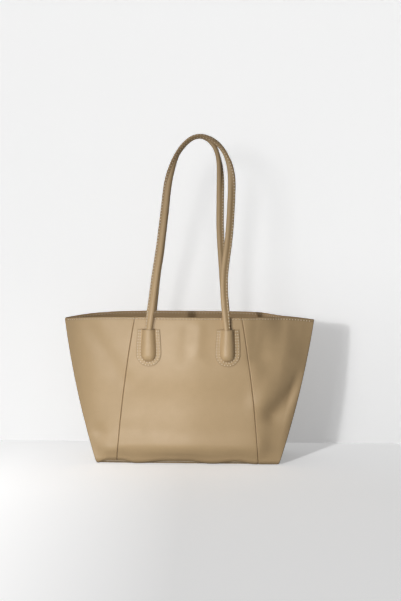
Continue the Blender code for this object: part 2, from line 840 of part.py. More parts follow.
def snap_stud(side):
    top = STUD_THICKNESS + STUD_KNOB_HEIGHT
    stem = -(FACING + CLEARANCE)
    outline = [
        (0, top), (STUD_KNOB / 2, top), (STUD_KNOB / 2, STUD_THICKNESS),
        (STUD_DIAMETER / 2, STUD_THICKNESS), (STUD_DIAMETER / 2, 0),
        (STEM_DIAMETER / 2, 0), (STEM_DIAMETER / 2, stem), (0, stem),
    ]
    return turned_piece("snap_stud", outline, side, BRASS)


def snap_washer(side):
    """The plate behind the facing that holds a snap half."""
    high = -(FACING + 2 * CLEARANCE)
    low = high - STAY
    radius = WASHER_DIAMETER / 2
    outline = [(0, high), (radius, high), (radius, low), (0, low)]
    return turned_piece(f"{side_name(side)}_snap_washer", outline, side, BRASS)


def snap_hole(side, facing):
    """Opens the facing for the snap's stem."""
    radius = STEM_DIAMETER / 2 + CLEARANCE
    outline = [(0, FACING), (radius, FACING), (radius, -2 * FACING), (0, -2 * FACING)]
    name = f"{side_name(side)}_snap_hole"
    cutter = turned_piece(name, outline, side, BRASS, CUTTERS)
    cutter.hide_render = True
    cutter.display_type = "WIRE"
    cut = facing.modifiers.new("snap hole", "BOOLEAN")
    cut.operation = "DIFFERENCE"
    cut.object = cutter


def leather_gussets():
    edge = LEATHER + 2 * CLEARANCE
    foot = roll_rise_at(LEATHER + 2 * CLEARANCE, edge)
    for side, name in ((FRONT, "left_gusset"), (BACK, "right_gusset")):
        gusset(name, side, 0, edge, foot, 0, LEATHER, SMOOTH_LEATHER)


def lining_gussets():
    edge = LINER_INSET + LINING + CLEARANCE
    foot = roll_rise_at(LINING_FOOT, edge)
    drop = FACING_HEIGHT + CLEARANCE
    for side, name in ((FRONT, "left_lining"), (BACK, "right_lining")):
        gusset(name, side, LINER_INSET, edge, foot, drop, LINING, LINING_CLOTH)


def build():
    profile = strap_profile()
    for side in (FRONT, BACK):
        centre_panel(side)
        wall_lining(side)
        rim_tape(side)
        snap_hole(side, rim_facing(side))
        snap_washer(side)
        for hand in (-1, 1):
            side_panel(side, hand)
            handle_tab(side, hand)
            tab_patch(side, hand)
        handle(side, profile)
    leather_gussets()
    lining_gussets()
    base_panel()
    base_board()
    base_lining()
    snap_socket(FRONT)
    snap_stud(BACK)


build()
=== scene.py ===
"""Looks of a slouchy leather tote with two long shoulder handles.

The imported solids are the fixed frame. Each layer of the bag's wall is laid from one surface,
so leather, facing, stay web and lining stay in order when the leather swells or buckles.
Lengths are in metres, the front faces -Y and +Z is up.
"""

import logging
import math
from collections.abc import Callable, Sequence
from dataclasses import dataclass, field
from enum import Enum
from typing import Any

import bmesh
import bpy
import numpy as np
from mathutils import Matrix, Vector


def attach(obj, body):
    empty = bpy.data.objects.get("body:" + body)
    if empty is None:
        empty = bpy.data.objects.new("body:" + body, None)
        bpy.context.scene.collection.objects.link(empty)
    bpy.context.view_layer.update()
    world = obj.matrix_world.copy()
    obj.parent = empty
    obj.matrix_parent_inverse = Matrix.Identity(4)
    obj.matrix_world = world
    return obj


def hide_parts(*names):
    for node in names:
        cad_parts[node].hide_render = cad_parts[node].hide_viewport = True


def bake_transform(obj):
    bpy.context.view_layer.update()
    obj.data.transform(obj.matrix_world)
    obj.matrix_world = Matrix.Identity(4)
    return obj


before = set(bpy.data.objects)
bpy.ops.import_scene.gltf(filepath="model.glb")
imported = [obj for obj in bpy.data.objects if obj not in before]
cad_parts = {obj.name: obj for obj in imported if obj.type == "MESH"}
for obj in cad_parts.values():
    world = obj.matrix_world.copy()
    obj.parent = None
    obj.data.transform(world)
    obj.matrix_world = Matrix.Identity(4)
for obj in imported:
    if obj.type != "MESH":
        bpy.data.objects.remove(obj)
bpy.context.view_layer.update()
LOG = logging.getLogger("slouchy_bag")

Array = np.ndarray
Place = Callable[[Array, Array], tuple[Array, Array]]
Colour = tuple[float, float, float]

QUARTER_TURN = math.pi / 2
HALF_TURN = Matrix.Rotation(math.pi, 4, "Z")
WELD = 2e-5  # points closer than this are one
GUSSET_TURN_STEPS = 4  # columns on a gusset's turned edge
WHITE = (1.0, 1.0, 1.0, 1.0)


class Side(Enum):
    """The front of the bag, or the back, which is the front turned half a turn."""

    FRONT = 1
    BACK = -1

    @property
    def word(self) -> str:
        """The side's name as it stands in piece names."""
        return self.name.lower()


class Hand(Enum):
    """Left or right as a piece of the front lies, before the back's half turn."""

    LEFT = -1
    RIGHT = 1

    def word(self, side: Side) -> str:
        """Left or right as seen from the front of the bag."""
        return "left" if self.value * side.value < 0 else "right"


def mix(low: Any, high: Any, share: Any) -> Any:
    """A value between low and high."""
    return low + (high - low) * share


def ease(share: Any) -> Any:
    """A smooth step from 0 to 1."""
    share = np.clip(share, 0.0, 1.0)
    return share * share * (3 - 2 * share)


def bowed(low: float, high: float, bow: float, share: Any) -> Any:
    """A straight change from low to high that swells by bow half way."""
    return mix(low, high, share) + 4 * bow * share * (1 - share)


def hill(distance: Any, reach: float) -> Any:
    """A round hill of height 1 that fades out a little past its reach."""
    return np.exp(-((distance / reach) ** 2))


def unit(vectors: Array) -> Array:
    """The same directions at length 1."""
    return vectors / np.linalg.norm(vectors, axis=-1, keepdims=True)


def sampled(values: Array, travelled: Array, at: Array) -> Array:
    """Values of a path at distances along it."""
    return np.stack([np.interp(at, travelled, one) for one in values.T], axis=-1)


def path_lengths(points: Array) -> Array:
    """How far along their path each of the points lies."""
    steps = np.linalg.norm(np.diff(points, axis=0), axis=1)
    return np.concatenate(([0.0], np.cumsum(steps)))


@dataclass(frozen=True)
class Swell:
    """A soft ridge of the leather along a line, or a hollow where its height is negative."""

    start: tuple[float, float]
    end: tuple[float, float]
    reach: float
    height: float

    def at(self, x: Array, z: Array) -> Array:
        """Height of the ridge over the wall.

        Args:
            x: widths seen from the front of this side.
            z: heights over the ground.

        Returns:
            How far the leather stands out at each place.
        """
        ax, az = self.start
        bx, bz = self.end
        length = max((bx - ax) ** 2 + (bz - az) ** 2, 1e-12)
        along = np.clip(((x - ax) * (bx - ax) + (z - az) * (bz - az)) / length, 0, 1)
        distance = np.hypot(x - mix(ax, bx, along), z - mix(az, bz, along))
        return self.height * hill(distance, self.reach)


FRONT_SWELLS = (
    Swell((0.016, 0.192), (0.019, 0.234), 0.010, 0.0015),  # soft bump under the rim
    Swell((-0.006, 0.185), (-0.004, 0.228), 0.010, -0.0012),
    Swell((0.042, 0.172), (0.043, 0.215), 0.013, -0.0006),
    Swell((-0.002, 0.050), (0.004, 0.240), 0.052, 0.0038),  # the middle stands proud
    Swell((-0.130, 0.033), (0.120, 0.033), 0.018, 0.0064),  # the foot bulges over the roll
    Swell((-0.100, 0.110), (0.090, 0.110), 0.038, -0.0044),
    Swell((-0.180, 0.262), (0.180, 0.262), 0.045, 0.0032),
    Swell((-0.165, 0.225), (-0.110, 0.145), 0.016, -0.0022),  # left panel
    Swell((-0.150, 0.055), (-0.130, 0.038), 0.012, -0.0024),
    Swell((0.122, 0.250), (0.120, 0.185), 0.017, -0.0070),  # the right end turns evenly
    Swell((0.160, 0.250), (0.158, 0.195), 0.024, 0.0080),
    Swell((0.197, 0.140), (0.144, 0.084), 0.016, -0.0074),  # buckle in the right panel
    Swell((0.152, 0.158), (0.124, 0.108), 0.018, 0.0040),
    Swell((0.152, 0.076), (0.140, 0.044), 0.018, -0.0026),
)
BACK_SWELLS = (
    Swell((-0.060, 0.200), (-0.020, 0.120), 0.022, -0.0016),
    Swell((0.050, 0.070), (0.090, 0.050), 0.030, 0.0018),
    Swell((-0.175, 0.150), (-0.125, 0.085), 0.015, -0.0034),
    Swell((0.140, 0.190), (0.120, 0.110), 0.018, -0.0018),
)
# Places along the bottom edge and how far the leather stands off the ground there
FRONT_LIFTS = (
    (-0.156, 0.0), (-0.132, 0.0052), (-0.118, 0.0052), (-0.086, 0.0002), (-0.034, 0.0044),
    (-0.002, 0.0044), (0.042, 0.0004), (0.083, 0.0040), (0.116, 0.0), (0.160, 0.0),
)
BACK_LIFTS = (
    (-0.160, 0.0), (-0.100, 0.0030), (-0.050, 0.0), (0.030, 0.0028), (0.090, 0.0),
    (0.135, 0.0032), (0.160, 0.0),
)


@dataclass(frozen=True)
class BagForm:
    """The outer surface of the bag, and the depth of each layer under it."""

    rim_width: float = 0.431
    rim_depth: float = 0.100
    rim_top: float = 0.251
    corner_drop: float = 0.0085
    arch_power: float = 4.0
    base_width: float = 0.310
    base_depth: float = 0.126
    base_roll: float = 0.010
    side_bow: float = 0.0057
    belly: float = 0.008
    gusset_base_width: float = 0.122
    gusset_rim_width: float = 0.011
    gusset_tuck: float = 0.006
    gusset_crease: float = 0.0035
    seam_base_span: float = 0.240
    seam_rim_span: float = 0.180
    seam_bow: float = 0.0037
    rim_fullness: float = 4.0
    base_fullness: float = 6.0
    pinch_start: float = 0.55
    pinch_end: float = 0.77
    pinch_foot: float = 0.25
    pinch_share: float = 0.88
    pinch_power: float = 1.5
    clearance: float = 0.0003
    leather: float = 0.0016
    stay: float = 0.0005
    facing: float = 0.0012
    lining: float = 0.0007
    board: float = 0.0020
    stay_inset: float = 0.0021
    liner_inset: float = 0.0031
    facing_height: float = 0.035
    facing_end: float = 0.005
    turn: float = 0.0018  # radius of a turned leather edge
    seam_turn: float = 0.0011  # width of one at the seams of the front
    stitch_drop: float = 0.0031  # of the rim's stitch row
    swell_edge: float = 0.10  # share of the half width in which swells fade out
    swell_foot: float = 0.02
    lift_hidden: float = 0.55  # share of the bottom's lift that its hidden edge has
    lift_full_rise: float = 0.35
    lift_fade_level: float = 0.16
    facing_gap: float = 0.00005
    facing_tape_gap: float = 0.00025
    facing_step: float = 0.0016  # drop over which the facing moves off the leather
    facing_settle: float = 0.0105  # drop at which it moves back to the lining's depth
    facing_settle_reach: float = 0.008
    gusset_turn_gap: float = 0.0001
    gusset_turn_share: float = 0.3  # most of its half width that a turned edge takes
    gusset_crease_power: float = 1.4

    def rim_height(self, across: Any) -> Any:
        """Height of the rim at a share of the half width."""
        return self.rim_top - self.corner_drop * np.abs(across) ** self.arch_power

    def half_width(self, level: Any) -> Any:
        """Half the bag's width at a share of its height."""
        return bowed(self.base_width / 2, self.rim_width / 2, self.side_bow, level)

    def edge_depth(self, level: Any) -> Any:
        """Half the depth of the bag at its side edges."""
        return mix(self.gusset_base_width / 2, self.gusset_rim_width / 2, level)

    def edge_slope(self, level: Any, end: Any, side: Side) -> Any:
        """How steeply the wall falls back to its side edge at an end, -1 or 1."""
        step = 0.01
        fall = self.depth(end * (1 - step), level, side) - self.edge_depth(level)
        return fall / (step * self.half_width(level))

    def depth(self, across: Any, level: Any, side: Side) -> Any:
        """Distance of the leather from the bag's middle plane, without its swells.

        Args:
            across: share of the half width, from -1 to 1.
            level: share of the height.
            side: the front, or the back turned to the front.

        Returns:
            The distance at each place.
        """
        outwards = (side.value * across - self.pinch_start) / (self.pinch_end - self.pinch_start)
        upwards = np.clip(level - self.pinch_foot, 0, None) / (1 - self.pinch_foot)
        pinch = self.pinch_share * ease(outwards) * upwards ** self.pinch_power
        fullness = mix(self.base_fullness, self.rim_fullness, level)
        swell = (1 - np.abs(across) ** fullness) * (1 - pinch)
        middle = bowed(self.base_depth / 2, self.rim_depth / 2, self.belly, level)
        return self.edge_depth(level) + (middle - self.edge_depth(level)) * swell

    def seam_across(self, level: Any) -> Any:
        """Where the front seam crosses a level, as a share of the half width."""
        half = bowed(self.seam_base_span / 2, self.seam_rim_span / 2, self.seam_bow, level)
        return half / self.half_width(level)

    def level_at(self, rise: Any, across: Any) -> Any:
        """Share of the rim's height at a rise."""
        top = self.rim_height(across)
        rolled = self.base_roll * (1 - np.cos(np.clip(rise, 0, 1) * QUARTER_TURN)) / top
        foot = self.base_roll / top
        return np.where(rise < 1, rolled, mix(foot, 1, rise - 1))

    def rise_at(self, height: Any, across: Any) -> Any:
        """The rise at which the wall reaches a height."""
        foot = self.base_roll / self.rim_height(across)
        return 1 + (height / self.rim_height(across) - foot) / (1 - foot)

    def roll_angle_at(self, height: float, inset: float) -> float:
        """The angle at which a layer on the bottom roll reaches a height."""
        return math.acos((self.base_roll - height) / (self.base_roll - inset))

    def roll_rise_at(self, height: float, inset: float) -> float:
        """The rise at which a layer on the bottom roll reaches a height."""
        return self.roll_angle_at(height, inset) / QUARTER_TURN

    def swell(self, x: Array, z: Array, across: Array, side: Side) -> Array:
        """How far the leather stands out or sinks in, none of it at the side edges."""
        swells = FRONT_SWELLS if side is Side.FRONT else BACK_SWELLS
        total = sum(one.at(x, z) for one in swells)
        return total * ease((1 - np.abs(across)) / self.swell_edge) * ease(z / self.swell_foot)

    def lift(self, x: Array, rise: Array, level: Array, side: Side) -> Array:
        """How far the bottom edge stands off the ground."""
        lifts = np.array(FRONT_LIFTS if side is Side.FRONT else BACK_LIFTS)
        place = np.interp(x, lifts[:, 0], np.arange(len(lifts)))
        index = np.clip(np.floor(place).astype(int), 0, len(lifts) - 2)
        height = mix(lifts[index, 1], lifts[index + 1, 1], ease(place - index))
        share = mix(self.lift_hidden, 1, ease(rise / self.lift_full_rise))
        return height * share * (1 - ease(level / self.lift_fade_level))

    def skin(self, across: Any, rise: Any, side: Side) -> Array:
        """Points of the outer surface.

        Args:
            across: -1 at the left side edge and 1 at the right one.
            rise: 0 at the hidden edge under the base, 1 where the roll ends, 2 at the rim.
            side: the front, or the back turned to the front.

        Returns:
            One row of x, y and z for each place.
        """
        across, rise = np.broadcast_arrays(np.asarray(across, float), np.asarray(rise, float))
        level = self.level_at(rise, across)
        turned = np.sin(np.clip(rise, 0, 1) * QUARTER_TURN)
        x = across * self.half_width(level)
        z = level * self.rim_height(across)
        y = self.base_roll * (1 - turned) - self.depth(across, level, side)
        y = y - self.swell(x, z, across, side)
        return np.stack((x, y, z + self.lift(x, rise, level, side)), axis=-1)

    def normal(self, across: Any, rise: Any, side: Side) -> Array:
        """Directions straight out of the outer surface."""
        step = 0.001
        sideways = self.skin(across + step, rise, side) - self.skin(across - step, rise, side)
        upwards = self.skin(across, rise + step, side) - self.skin(across, rise - step, side)
        return unit(np.cross(sideways, upwards))

    def wall(self, across: Any, rise: Any, inset: Any, side: Side) -> Array:
        """Points inset from the outer surface along its normal."""
        inset = np.asarray(inset, float)[..., None]
        return self.skin(across, rise, side) - self.normal(across, rise, side) * inset

    def over(self, x: Any, z: Any, out: Any, side: Side) -> Array:
        """Points at a width and a height that stand out from the wall.

        Args:
            x: widths seen from the front of this side.
            z: heights over the ground.
            out: distances outwards from the leather.
            side: the front, or the back turned to the front.

        Returns:
            One row of x, y and z for each place.
        """
        x, z, out = np.broadcast_arrays(*(np.asarray(v, float) for v in (x, z, out)))
        across, foot = x / self.half_width(1.0), z
        for _ in range(8):
            point = self.wall(across, self.rise_at(foot, across), -out, side)
            across = across + (x - point[..., 0]) / self.half_width(1.0)
            foot = foot + z - point[..., 2]
        return point

    def facing_inset(self, drop: Any) -> Any:
        """Depth of the facing's outer face, which lies close to the leather at the rim."""
        close = self.turn + self.facing_gap
        over_tape = self.stay_inset + self.facing_tape_gap
        near = mix(close, over_tape, ease(drop / self.facing_step))
        settled = ease((drop - self.facing_settle) / self.facing_settle_reach)
        return mix(near, self.liner_inset, settled)


FORM = BagForm()


def turned_edge(distances: Sequence[Any], radius: float) -> Any:
    """How deep a turned edge lies at its distances from the edges that meet there."""
    left = sum(np.clip(radius - one, 0, radius) ** 2 for one in distances)
    return radius - np.sqrt(np.clip(radius * radius - left, 0, None))


def stations(index: Array, count: int, steps: int, first: Any, last: Any,
             width: Array) -> Array:
    """Distances of a grid's columns from its first edge, closer on both turned edges.

    Args:
        index: number of each point's column.
        count: number of the last column.
        steps: columns on a turned edge.
        first: width of the first turned edge.
        last: width of the last turned edge.
        width: distance between the two edges at each point.

    Returns:
        Distance from the first edge for each point.
    """
    arc = 1 - np.cos(np.linspace(0, QUARTER_TURN, steps + 1))
    middle = first + (index - steps) / (count - 2 * steps) * (width - first - last)
    start = first * np.interp(index, np.arange(steps + 1), arc)
    end = width - last * np.interp(count - index, np.arange(steps + 1), arc)
    return np.where(index < steps, start, np.where(index > count - steps, end, middle))


def lay_grid(name: str, columns: int, rows: int, place: Place, side: Side, weld: bool = False,
             cap: bool = False) -> bpy.types.Object:
    """A grid whose points are moved to where place puts them.

    Args:
        name: name of the piece.
        columns: faces along the first direction.
        rows: faces along the second direction.
        place: gives points and flat cloth coordinates for column and row numbers.
        side: the back is turned half a turn.
        weld: joins edges that meet, as on a tube.
        cap: closes the open ends.

    Returns:
        The new object, linked to the scene.
    """
    sheet = bmesh.new()
    bmesh.ops.create_grid(sheet, x_segments=columns, y_segments=rows, size=1)
    sheet.verts.index_update()
    corner = np.array([v.co[:2] for v in sheet.verts])
    at = np.rint((corner + 1) / 2 * np.array((columns, rows)))
    points, flat = place(at[:, 0], at[:, 1])
    layer = sheet.loops.layers.uv.new("UVMap")
    for face in sheet.faces:
        face.smooth = True
        for loop in face.loops:
            loop[layer].uv = flat[loop.vert.index]
    for vert, point in zip(sheet.verts, points):
        vert.co = point
    if weld:
        bmesh.ops.remove_doubles(sheet, verts=sheet.verts, dist=WELD)
    if cap:
        rims = [e for e in sheet.edges if e.is_boundary]
        bmesh.ops.holes_fill(sheet, edges=rims, sides=0)
    if side is Side.BACK:
        sheet.transform(HALF_TURN)
    return add_piece(name, sheet)


def add_object(name: str, data: Any) -> bpy.types.Object:
    """Puts an object with its data into the scene."""
    made = bpy.data.objects.new(name, data)
    bpy.context.scene.collection.objects.link(made)
    return made


def add_piece(name: str, shape: bmesh.types.BMesh) -> bpy.types.Object:
    """Puts a finished bmesh into the scene as an object and frees it."""
    mesh = bpy.data.meshes.new(name)
    shape.to_mesh(mesh)
    shape.free()
    return add_object(name, mesh)


def thicken(piece: bpy.types.Object, thickness: float, edge: float = 0.0) -> None:
    """Gives a sheet its thickness inwards and rounds its cut edges.

    Args:
        piece: the sheet, its faces pointing outwards.
        thickness: thickness of the material.
        edge: width of the rounded edge, or 0 for none.
    """
    shell = piece.modifiers.new("thickness", "SOLIDIFY")
    shell.thickness = thickness
    shell.offset = -1
    shell.use_even_offset = True
    shell.use_quality_normals = True
    if edge:
        round_off = piece.modifiers.new("cut edge", "BEVEL")
        round_off.width = edge
        round_off.segments = 2
        round_off.limit_method = "ANGLE"
        round_off.angle_limit = math.radians(50)
        round_off.harden_normals = True


def fit_out(piece: bpy.types.Object, finish: bpy.types.Material, body: str | None,
            replaced: Sequence[str]) -> None:
    """Dresses a piece and ties it to the frame.

    Args:
        piece: the finished piece.
        finish: its material.
        body: the CAD body that it rides on, or None to tie it to none.
        replaced: CAD nodes that it stands for.
    """
    piece.data.materials.append(finish)
    if body:
        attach(piece, body)
    if replaced:
        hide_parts(*replaced)
    LOG.info("%s: %d points", piece.name, len(piece.data.vertices))


# Finishes


class NodeBoard:
    """Lays nodes in one tree and links them."""

    def __init__(self, tree: bpy.types.NodeTree) -> None:
        """Keeps the tree that the nodes go into."""
        self.tree = tree

    def fill(self, node: Any, inputs: dict[Any, Any]) -> None:
        """Links or sets a node's inputs, given by name or number."""
        for name, value in inputs.items():
            if isinstance(value, bpy.types.NodeSocket):
                self.tree.links.new(value, node.inputs[name])
            else:
                node.inputs[name].default_value = value

    def add(self, kind: str, inputs: dict[Any, Any] | None = None, **settings: Any) -> Any:
        """Adds a node.

        Args:
            kind: the node's type without its leading word.
            inputs: values or linked sockets by input name or number.
            settings: properties of the node.

        Returns:
            The new node.
        """
        made = self.tree.nodes.new("ShaderNode" + kind)
        for name, value in settings.items():
            setattr(made, name, value)
        self.fill(made, inputs or {})
        return made

    def math(self, operation: str, *values: Any) -> bpy.types.NodeSocket:
        """A Math node's result."""
        return self.add("Math", dict(enumerate(values)), operation=operation).outputs[0]

    def spread(self, value: Any, low: float, high: float, to_low: float = 0.0,
               to_high: float = 1.0) -> bpy.types.NodeSocket:
        """A value moved from one range to another, and kept in it."""
        inputs = {"Value": value, "From Min": low, "From Max": high, "To Min": to_low,
                  "To Max": to_high}
        return self.add("MapRange", inputs).outputs["Result"]

    def noise(self, vector: Any, scale: float, detail: float = 2.0,
              roughness: float = 0.5) -> bpy.types.NodeSocket:
        """Soft noise from 0 to 1."""
        inputs = {"Vector": vector, "Scale": scale, "Detail": detail, "Roughness": roughness}
        return self.add("TexNoise", inputs).outputs[0]

    def blend(self, share: Any, low: Any, high: Any) -> bpy.types.NodeSocket:
        """A colour between two colours."""
        inputs = {"Factor": share, 6: low, 7: high}
        return self.add("Mix", inputs, data_type="RGBA").outputs[2]

    def use(self, group: bpy.types.NodeTree, inputs: dict[str, Any]) -> Any:
        """Places a node group with its own values."""
        return self.add("Group", inputs, node_tree=group)


def rgba(colour: Colour) -> tuple[float, float, float, float]:
    """A linear colour with full alpha."""
    return (*colour, 1.0)


def new_material(name: str) -> tuple[bpy.types.Material, NodeBoard, Any]:
    """A new material, the board of its nodes and its shader."""
    material = bpy.data.materials.new(name)
    material.use_nodes = True
    return material, NodeBoard(material.node_tree), material.node_tree.nodes["Principled BSDF"]


def new_group(name: str, inputs: dict[str, tuple[str, float]],
              outputs: Sequence[str]) -> tuple[NodeBoard, Any, Any]:
    """Starts a shader node group.

    Args:
        name: name of the group.
        inputs: socket kind and default value by input name.
        outputs: names of the outputs, all plain values.

    Returns:
        The board of the group, its input node and its output node.
    """
    group = bpy.data.node_groups.new(name, "ShaderNodeTree")
    for label, (kind, value) in inputs.items():
        made = group.interface.new_socket(label, in_out="INPUT", socket_type=kind)
        if kind == "NodeSocketFloat":
            made.default_value = value
    for label in outputs:
        group.interface.new_socket(label, in_out="OUTPUT", socket_type="NodeSocketFloat")
    return (NodeBoard(group), group.nodes.new("NodeGroupInput"),
            group.nodes.new("NodeGroupOutput"))


class Effects:
    """The surface effects that several finishes share, each made once."""

    def __init__(self) -> None:
        """Builds the node groups."""
        self.grain = self.make_grain()
        self.drift = self.make_drift()
        self.weave = self.make_weave()
        self.darkening = self.make_darkening()

    @staticmethod
    def make_grain() -> bpy.types.NodeTree:
        """Pebbled leather grain with finer pores and faint creases between the pebbles."""
        board, given, out = new_group(
            "leather_grain",
            {"Vector": ("NodeSocketVector", 0.0), "Cells": ("NodeSocketFloat", 1400.0)},
            ("Height", "Tone"),
        )
        place, cells = given.outputs["Vector"], given.outputs["Cells"]
        bent = board.add("VectorMath", {
            0: place,
            1: board.add("VectorMath", {
                0: board.add("TexNoise", {"Vector": place, "Scale": 420.0}).outputs["Color"],
                "Scale": 0.0011,
            }, operation="SCALE").outputs[0],
        }, operation="ADD").outputs[0]
        pebbles = board.add("TexVoronoi", {"Vector": bent, "Scale": cells, "Smoothness": 0.7},
                            feature="SMOOTH_F1").outputs["Distance"]
        creases = board.add("TexVoronoi", {
            "Vector": bent, "Scale": board.math("MULTIPLY", cells, 0.36),
        }, feature="DISTANCE_TO_EDGE").outputs["Distance"]
        creases = board.spread(creases, 0.0, 0.09)
        pores = board.noise(bent, 5200.0, 2.0)
        height = board.math("MULTIPLY_ADD", board.math("SUBTRACT", 1.0, pebbles), 0.55,
                            board.math("MULTIPLY", creases, 0.30))
        height = board.math("MULTIPLY_ADD", pores, 0.15, height)
        board.fill(out, {"Height": height, "Tone": creases})
        return board.tree

    @staticmethod
    def make_drift() -> bpy.types.NodeTree:
        """Slow drift of tone over a hide or a bolt of cloth, with a finer cloudiness in it."""
        board, given, out = new_group(
            "tone_drift",
            {"Vector": ("NodeSocketVector", 0.0), "Size": ("NodeSocketFloat", 7.0)},
            ("Drift", "Cloud"),
        )
        place, size = given.outputs["Vector"], given.outputs["Size"]
        slow = board.add("TexNoise", {"Vector": place, "Scale": size, "Detail": 3.0})
        quick = board.add("TexNoise", {
            "Vector": place, "Scale": board.math("MULTIPLY", size, 9.0), "Detail": 4.0,
        })
        board.fill(out, {"Drift": board.spread(slow.outputs[0], 0.3, 0.7),
                         "Cloud": board.spread(quick.outputs[0], 0.3, 0.7)})
        return board.tree

    @staticmethod
    def make_weave() -> bpy.types.NodeTree:
        """Plain weave: warp and weft that pass over and under each other."""
        board, given, out = new_group(
            "plain_weave",
            {"Vector": ("NodeSocketVector", 0.0), "Pitch": ("NodeSocketFloat", 0.0008)},
            ("Height", "Shade"),
        )
        parts = board.add("SeparateXYZ", {"Vector": given.outputs["Vector"]})
        turns = [board.math("MULTIPLY", board.math("DIVIDE", parts.outputs[axis],
                                                   given.outputs["Pitch"]), math.pi)
                 for axis in ("X", "Y")]
        across = board.math("ABSOLUTE", board.math("SINE", turns[0]))
        along = board.math("ABSOLUTE", board.math("SINE", turns[1]))
        over = board.math("MULTIPLY", board.math("COSINE", turns[0]),
                          board.math("COSINE", turns[1]))
        warp = board.math("MULTIPLY", across, board.spread(over, -0.6, 0.6, 0.35, 1.0))
        weft = board.math("MULTIPLY", along, board.spread(over, -0.6, 0.6, 1.0, 0.35))
        height = board.math("MAXIMUM", warp, weft)
        fluff = board.noise(given.outputs["Vector"], 2600.0, 3.0)
        board.fill(out, {"Height": board.math("MULTIPLY_ADD", fluff, 0.25, height),
                         "Shade": board.spread(height, 0.1, 0.9)})
        return board.tree

    @staticmethod
    def make_darkening() -> bpy.types.NodeTree:
        """Darkens the marked edges unevenly: darker cut edges, and painted shade in seams, stitch
        channels, the rim's edge and the handles' flanges.
        """
        board, given, out = new_group(
            "darkened_edges_and_shade",
            {"Vector": ("NodeSocketVector", 0.0), "Edge": ("NodeSocketFloat", 0.0)},
            ("Mask",),
        )
        cloud = board.noise(given.outputs["Vector"], 90.0, 4.0, 0.6)
        mask = board.math("MULTIPLY", given.outputs["Edge"], board.spread(cloud, 0.3, 0.7, 0.5))
        board.fill(out, {"Mask": mask})
        return board.tree


@dataclass(frozen=True)
class Finish:
    """The look of a material, which is made once."""

    name: str

    def make(self, effects: Effects) -> bpy.types.Material:
        """Builds the material.

        Args:
            effects: the shared node groups.

        Returns:
            A new material.
        """
        material, board, shader = new_material(self.name)
        board.fill(shader, self.paint(board, effects))
        return material

    def paint(self, board: NodeBoard, effects: Effects) -> dict[str, Any]:
        """Lays the nodes and gives the shader's inputs by name."""
        raise NotImplementedError


@dataclass(frozen=True)
class LeatherFinish(Finish):
    """Smooth coloured leather with a satin face."""

    face: Colour
    shade: Colour
    edge_dark: Colour
    roughness: float
    cells: float
    grain: float

    def paint(self, board: NodeBoard, effects: Effects) -> dict[str, Any]:
        """Lays grain, drift of tone and darkened edges: darker cut edges, and painted shade in
        seams, stitch channels, the rim's edge and flanges.

        Args:
            board: where the nodes go.
            effects: the shared node groups.

        Returns:
            The shader's inputs by name.
        """
        place = board.add("TexCoord").outputs["Object"]
        grain = board.use(effects.grain, {"Vector": place, "Cells": self.cells})
        drift = board.use(effects.drift, {"Vector": place})
        edge = board.add("Attribute", attribute_name="edge").outputs["Fac"]
        darkening = board.use(effects.darkening, {"Vector": place, "Edge": edge})
        colour = board.blend(drift.outputs["Drift"], rgba(self.face), rgba(self.shade))
        low = tuple(one * 0.94 for one in self.shade)
        faint = board.spread(drift.outputs["Cloud"], 0.0, 1.0, 0.0, 0.35)
        colour = board.blend(faint, colour, rgba(low))
        pore = board.spread(grain.outputs["Tone"], 0.0, 1.0, 0.16, 0.0)
        colour = board.blend(pore, colour, rgba(tuple(one * 0.72 for one in self.shade)))
        # Darkened edges: darker cut edges, and painted shade in seams, stitch channels, the rim's
        # edge and flanges.
        colour = board.blend(darkening.outputs["Mask"], colour, rgba(self.edge_dark))
        rough = board.spread(drift.outputs["Cloud"], 0.0, 1.0, self.roughness - 0.04,
                             self.roughness + 0.05)
        rough = board.math("MULTIPLY_ADD", darkening.outputs["Mask"], 0.12, rough)
        bump = board.add("Bump", {"Height": grain.outputs["Height"], "Strength": self.grain,
                                  "Distance": 0.00016})
        return {"Base Color": colour, "Roughness": rough, "Normal": bump.outputs[0],
                "Specular IOR Level": 0.42, "Sheen Weight": 0.06, "Sheen Roughness": 0.4}


@dataclass(frozen=True)
class ClothFinish(Finish):
    """Woven cloth or web, whose threads follow the piece's own flat coordinates."""

    thread: Colour
    gap: Colour
    pitch: float
    depth: float

    def paint(self, board: NodeBoard, effects: Effects) -> dict[str, Any]:
        """Lays the weave and a faint cloudiness.

        Args:
            board: where the nodes go.
            effects: the shared node groups.

        Returns:
            The shader's inputs by name.
        """
        coordinates = board.add("TexCoord")
        weave = board.use(effects.weave, {"Vector": coordinates.outputs["UV"],
                                          "Pitch": self.pitch})
        drift = board.use(effects.drift, {"Vector": coordinates.outputs["Object"],
                                          "Size": 14.0})
        colour = board.blend(weave.outputs["Shade"], rgba(self.gap), rgba(self.thread))
        faint = board.spread(drift.outputs["Cloud"], 0.0, 1.0, 0.0, 0.22)
        colour = board.blend(faint, colour, rgba(tuple(one * 0.8 for one in self.thread)))
        bump = board.add("Bump", {"Height": weave.outputs["Height"], "Strength": 0.7,
                                  "Distance": self.depth})
        rough = board.spread(drift.outputs["Drift"], 0.0, 1.0, 0.82, 0.94)
        return {"Base Color": colour, "Roughness": rough, "Normal": bump.outputs[0],
                "Specular IOR Level": 0.2, "Sheen Weight": 0.25, "Sheen Roughness": 0.5}


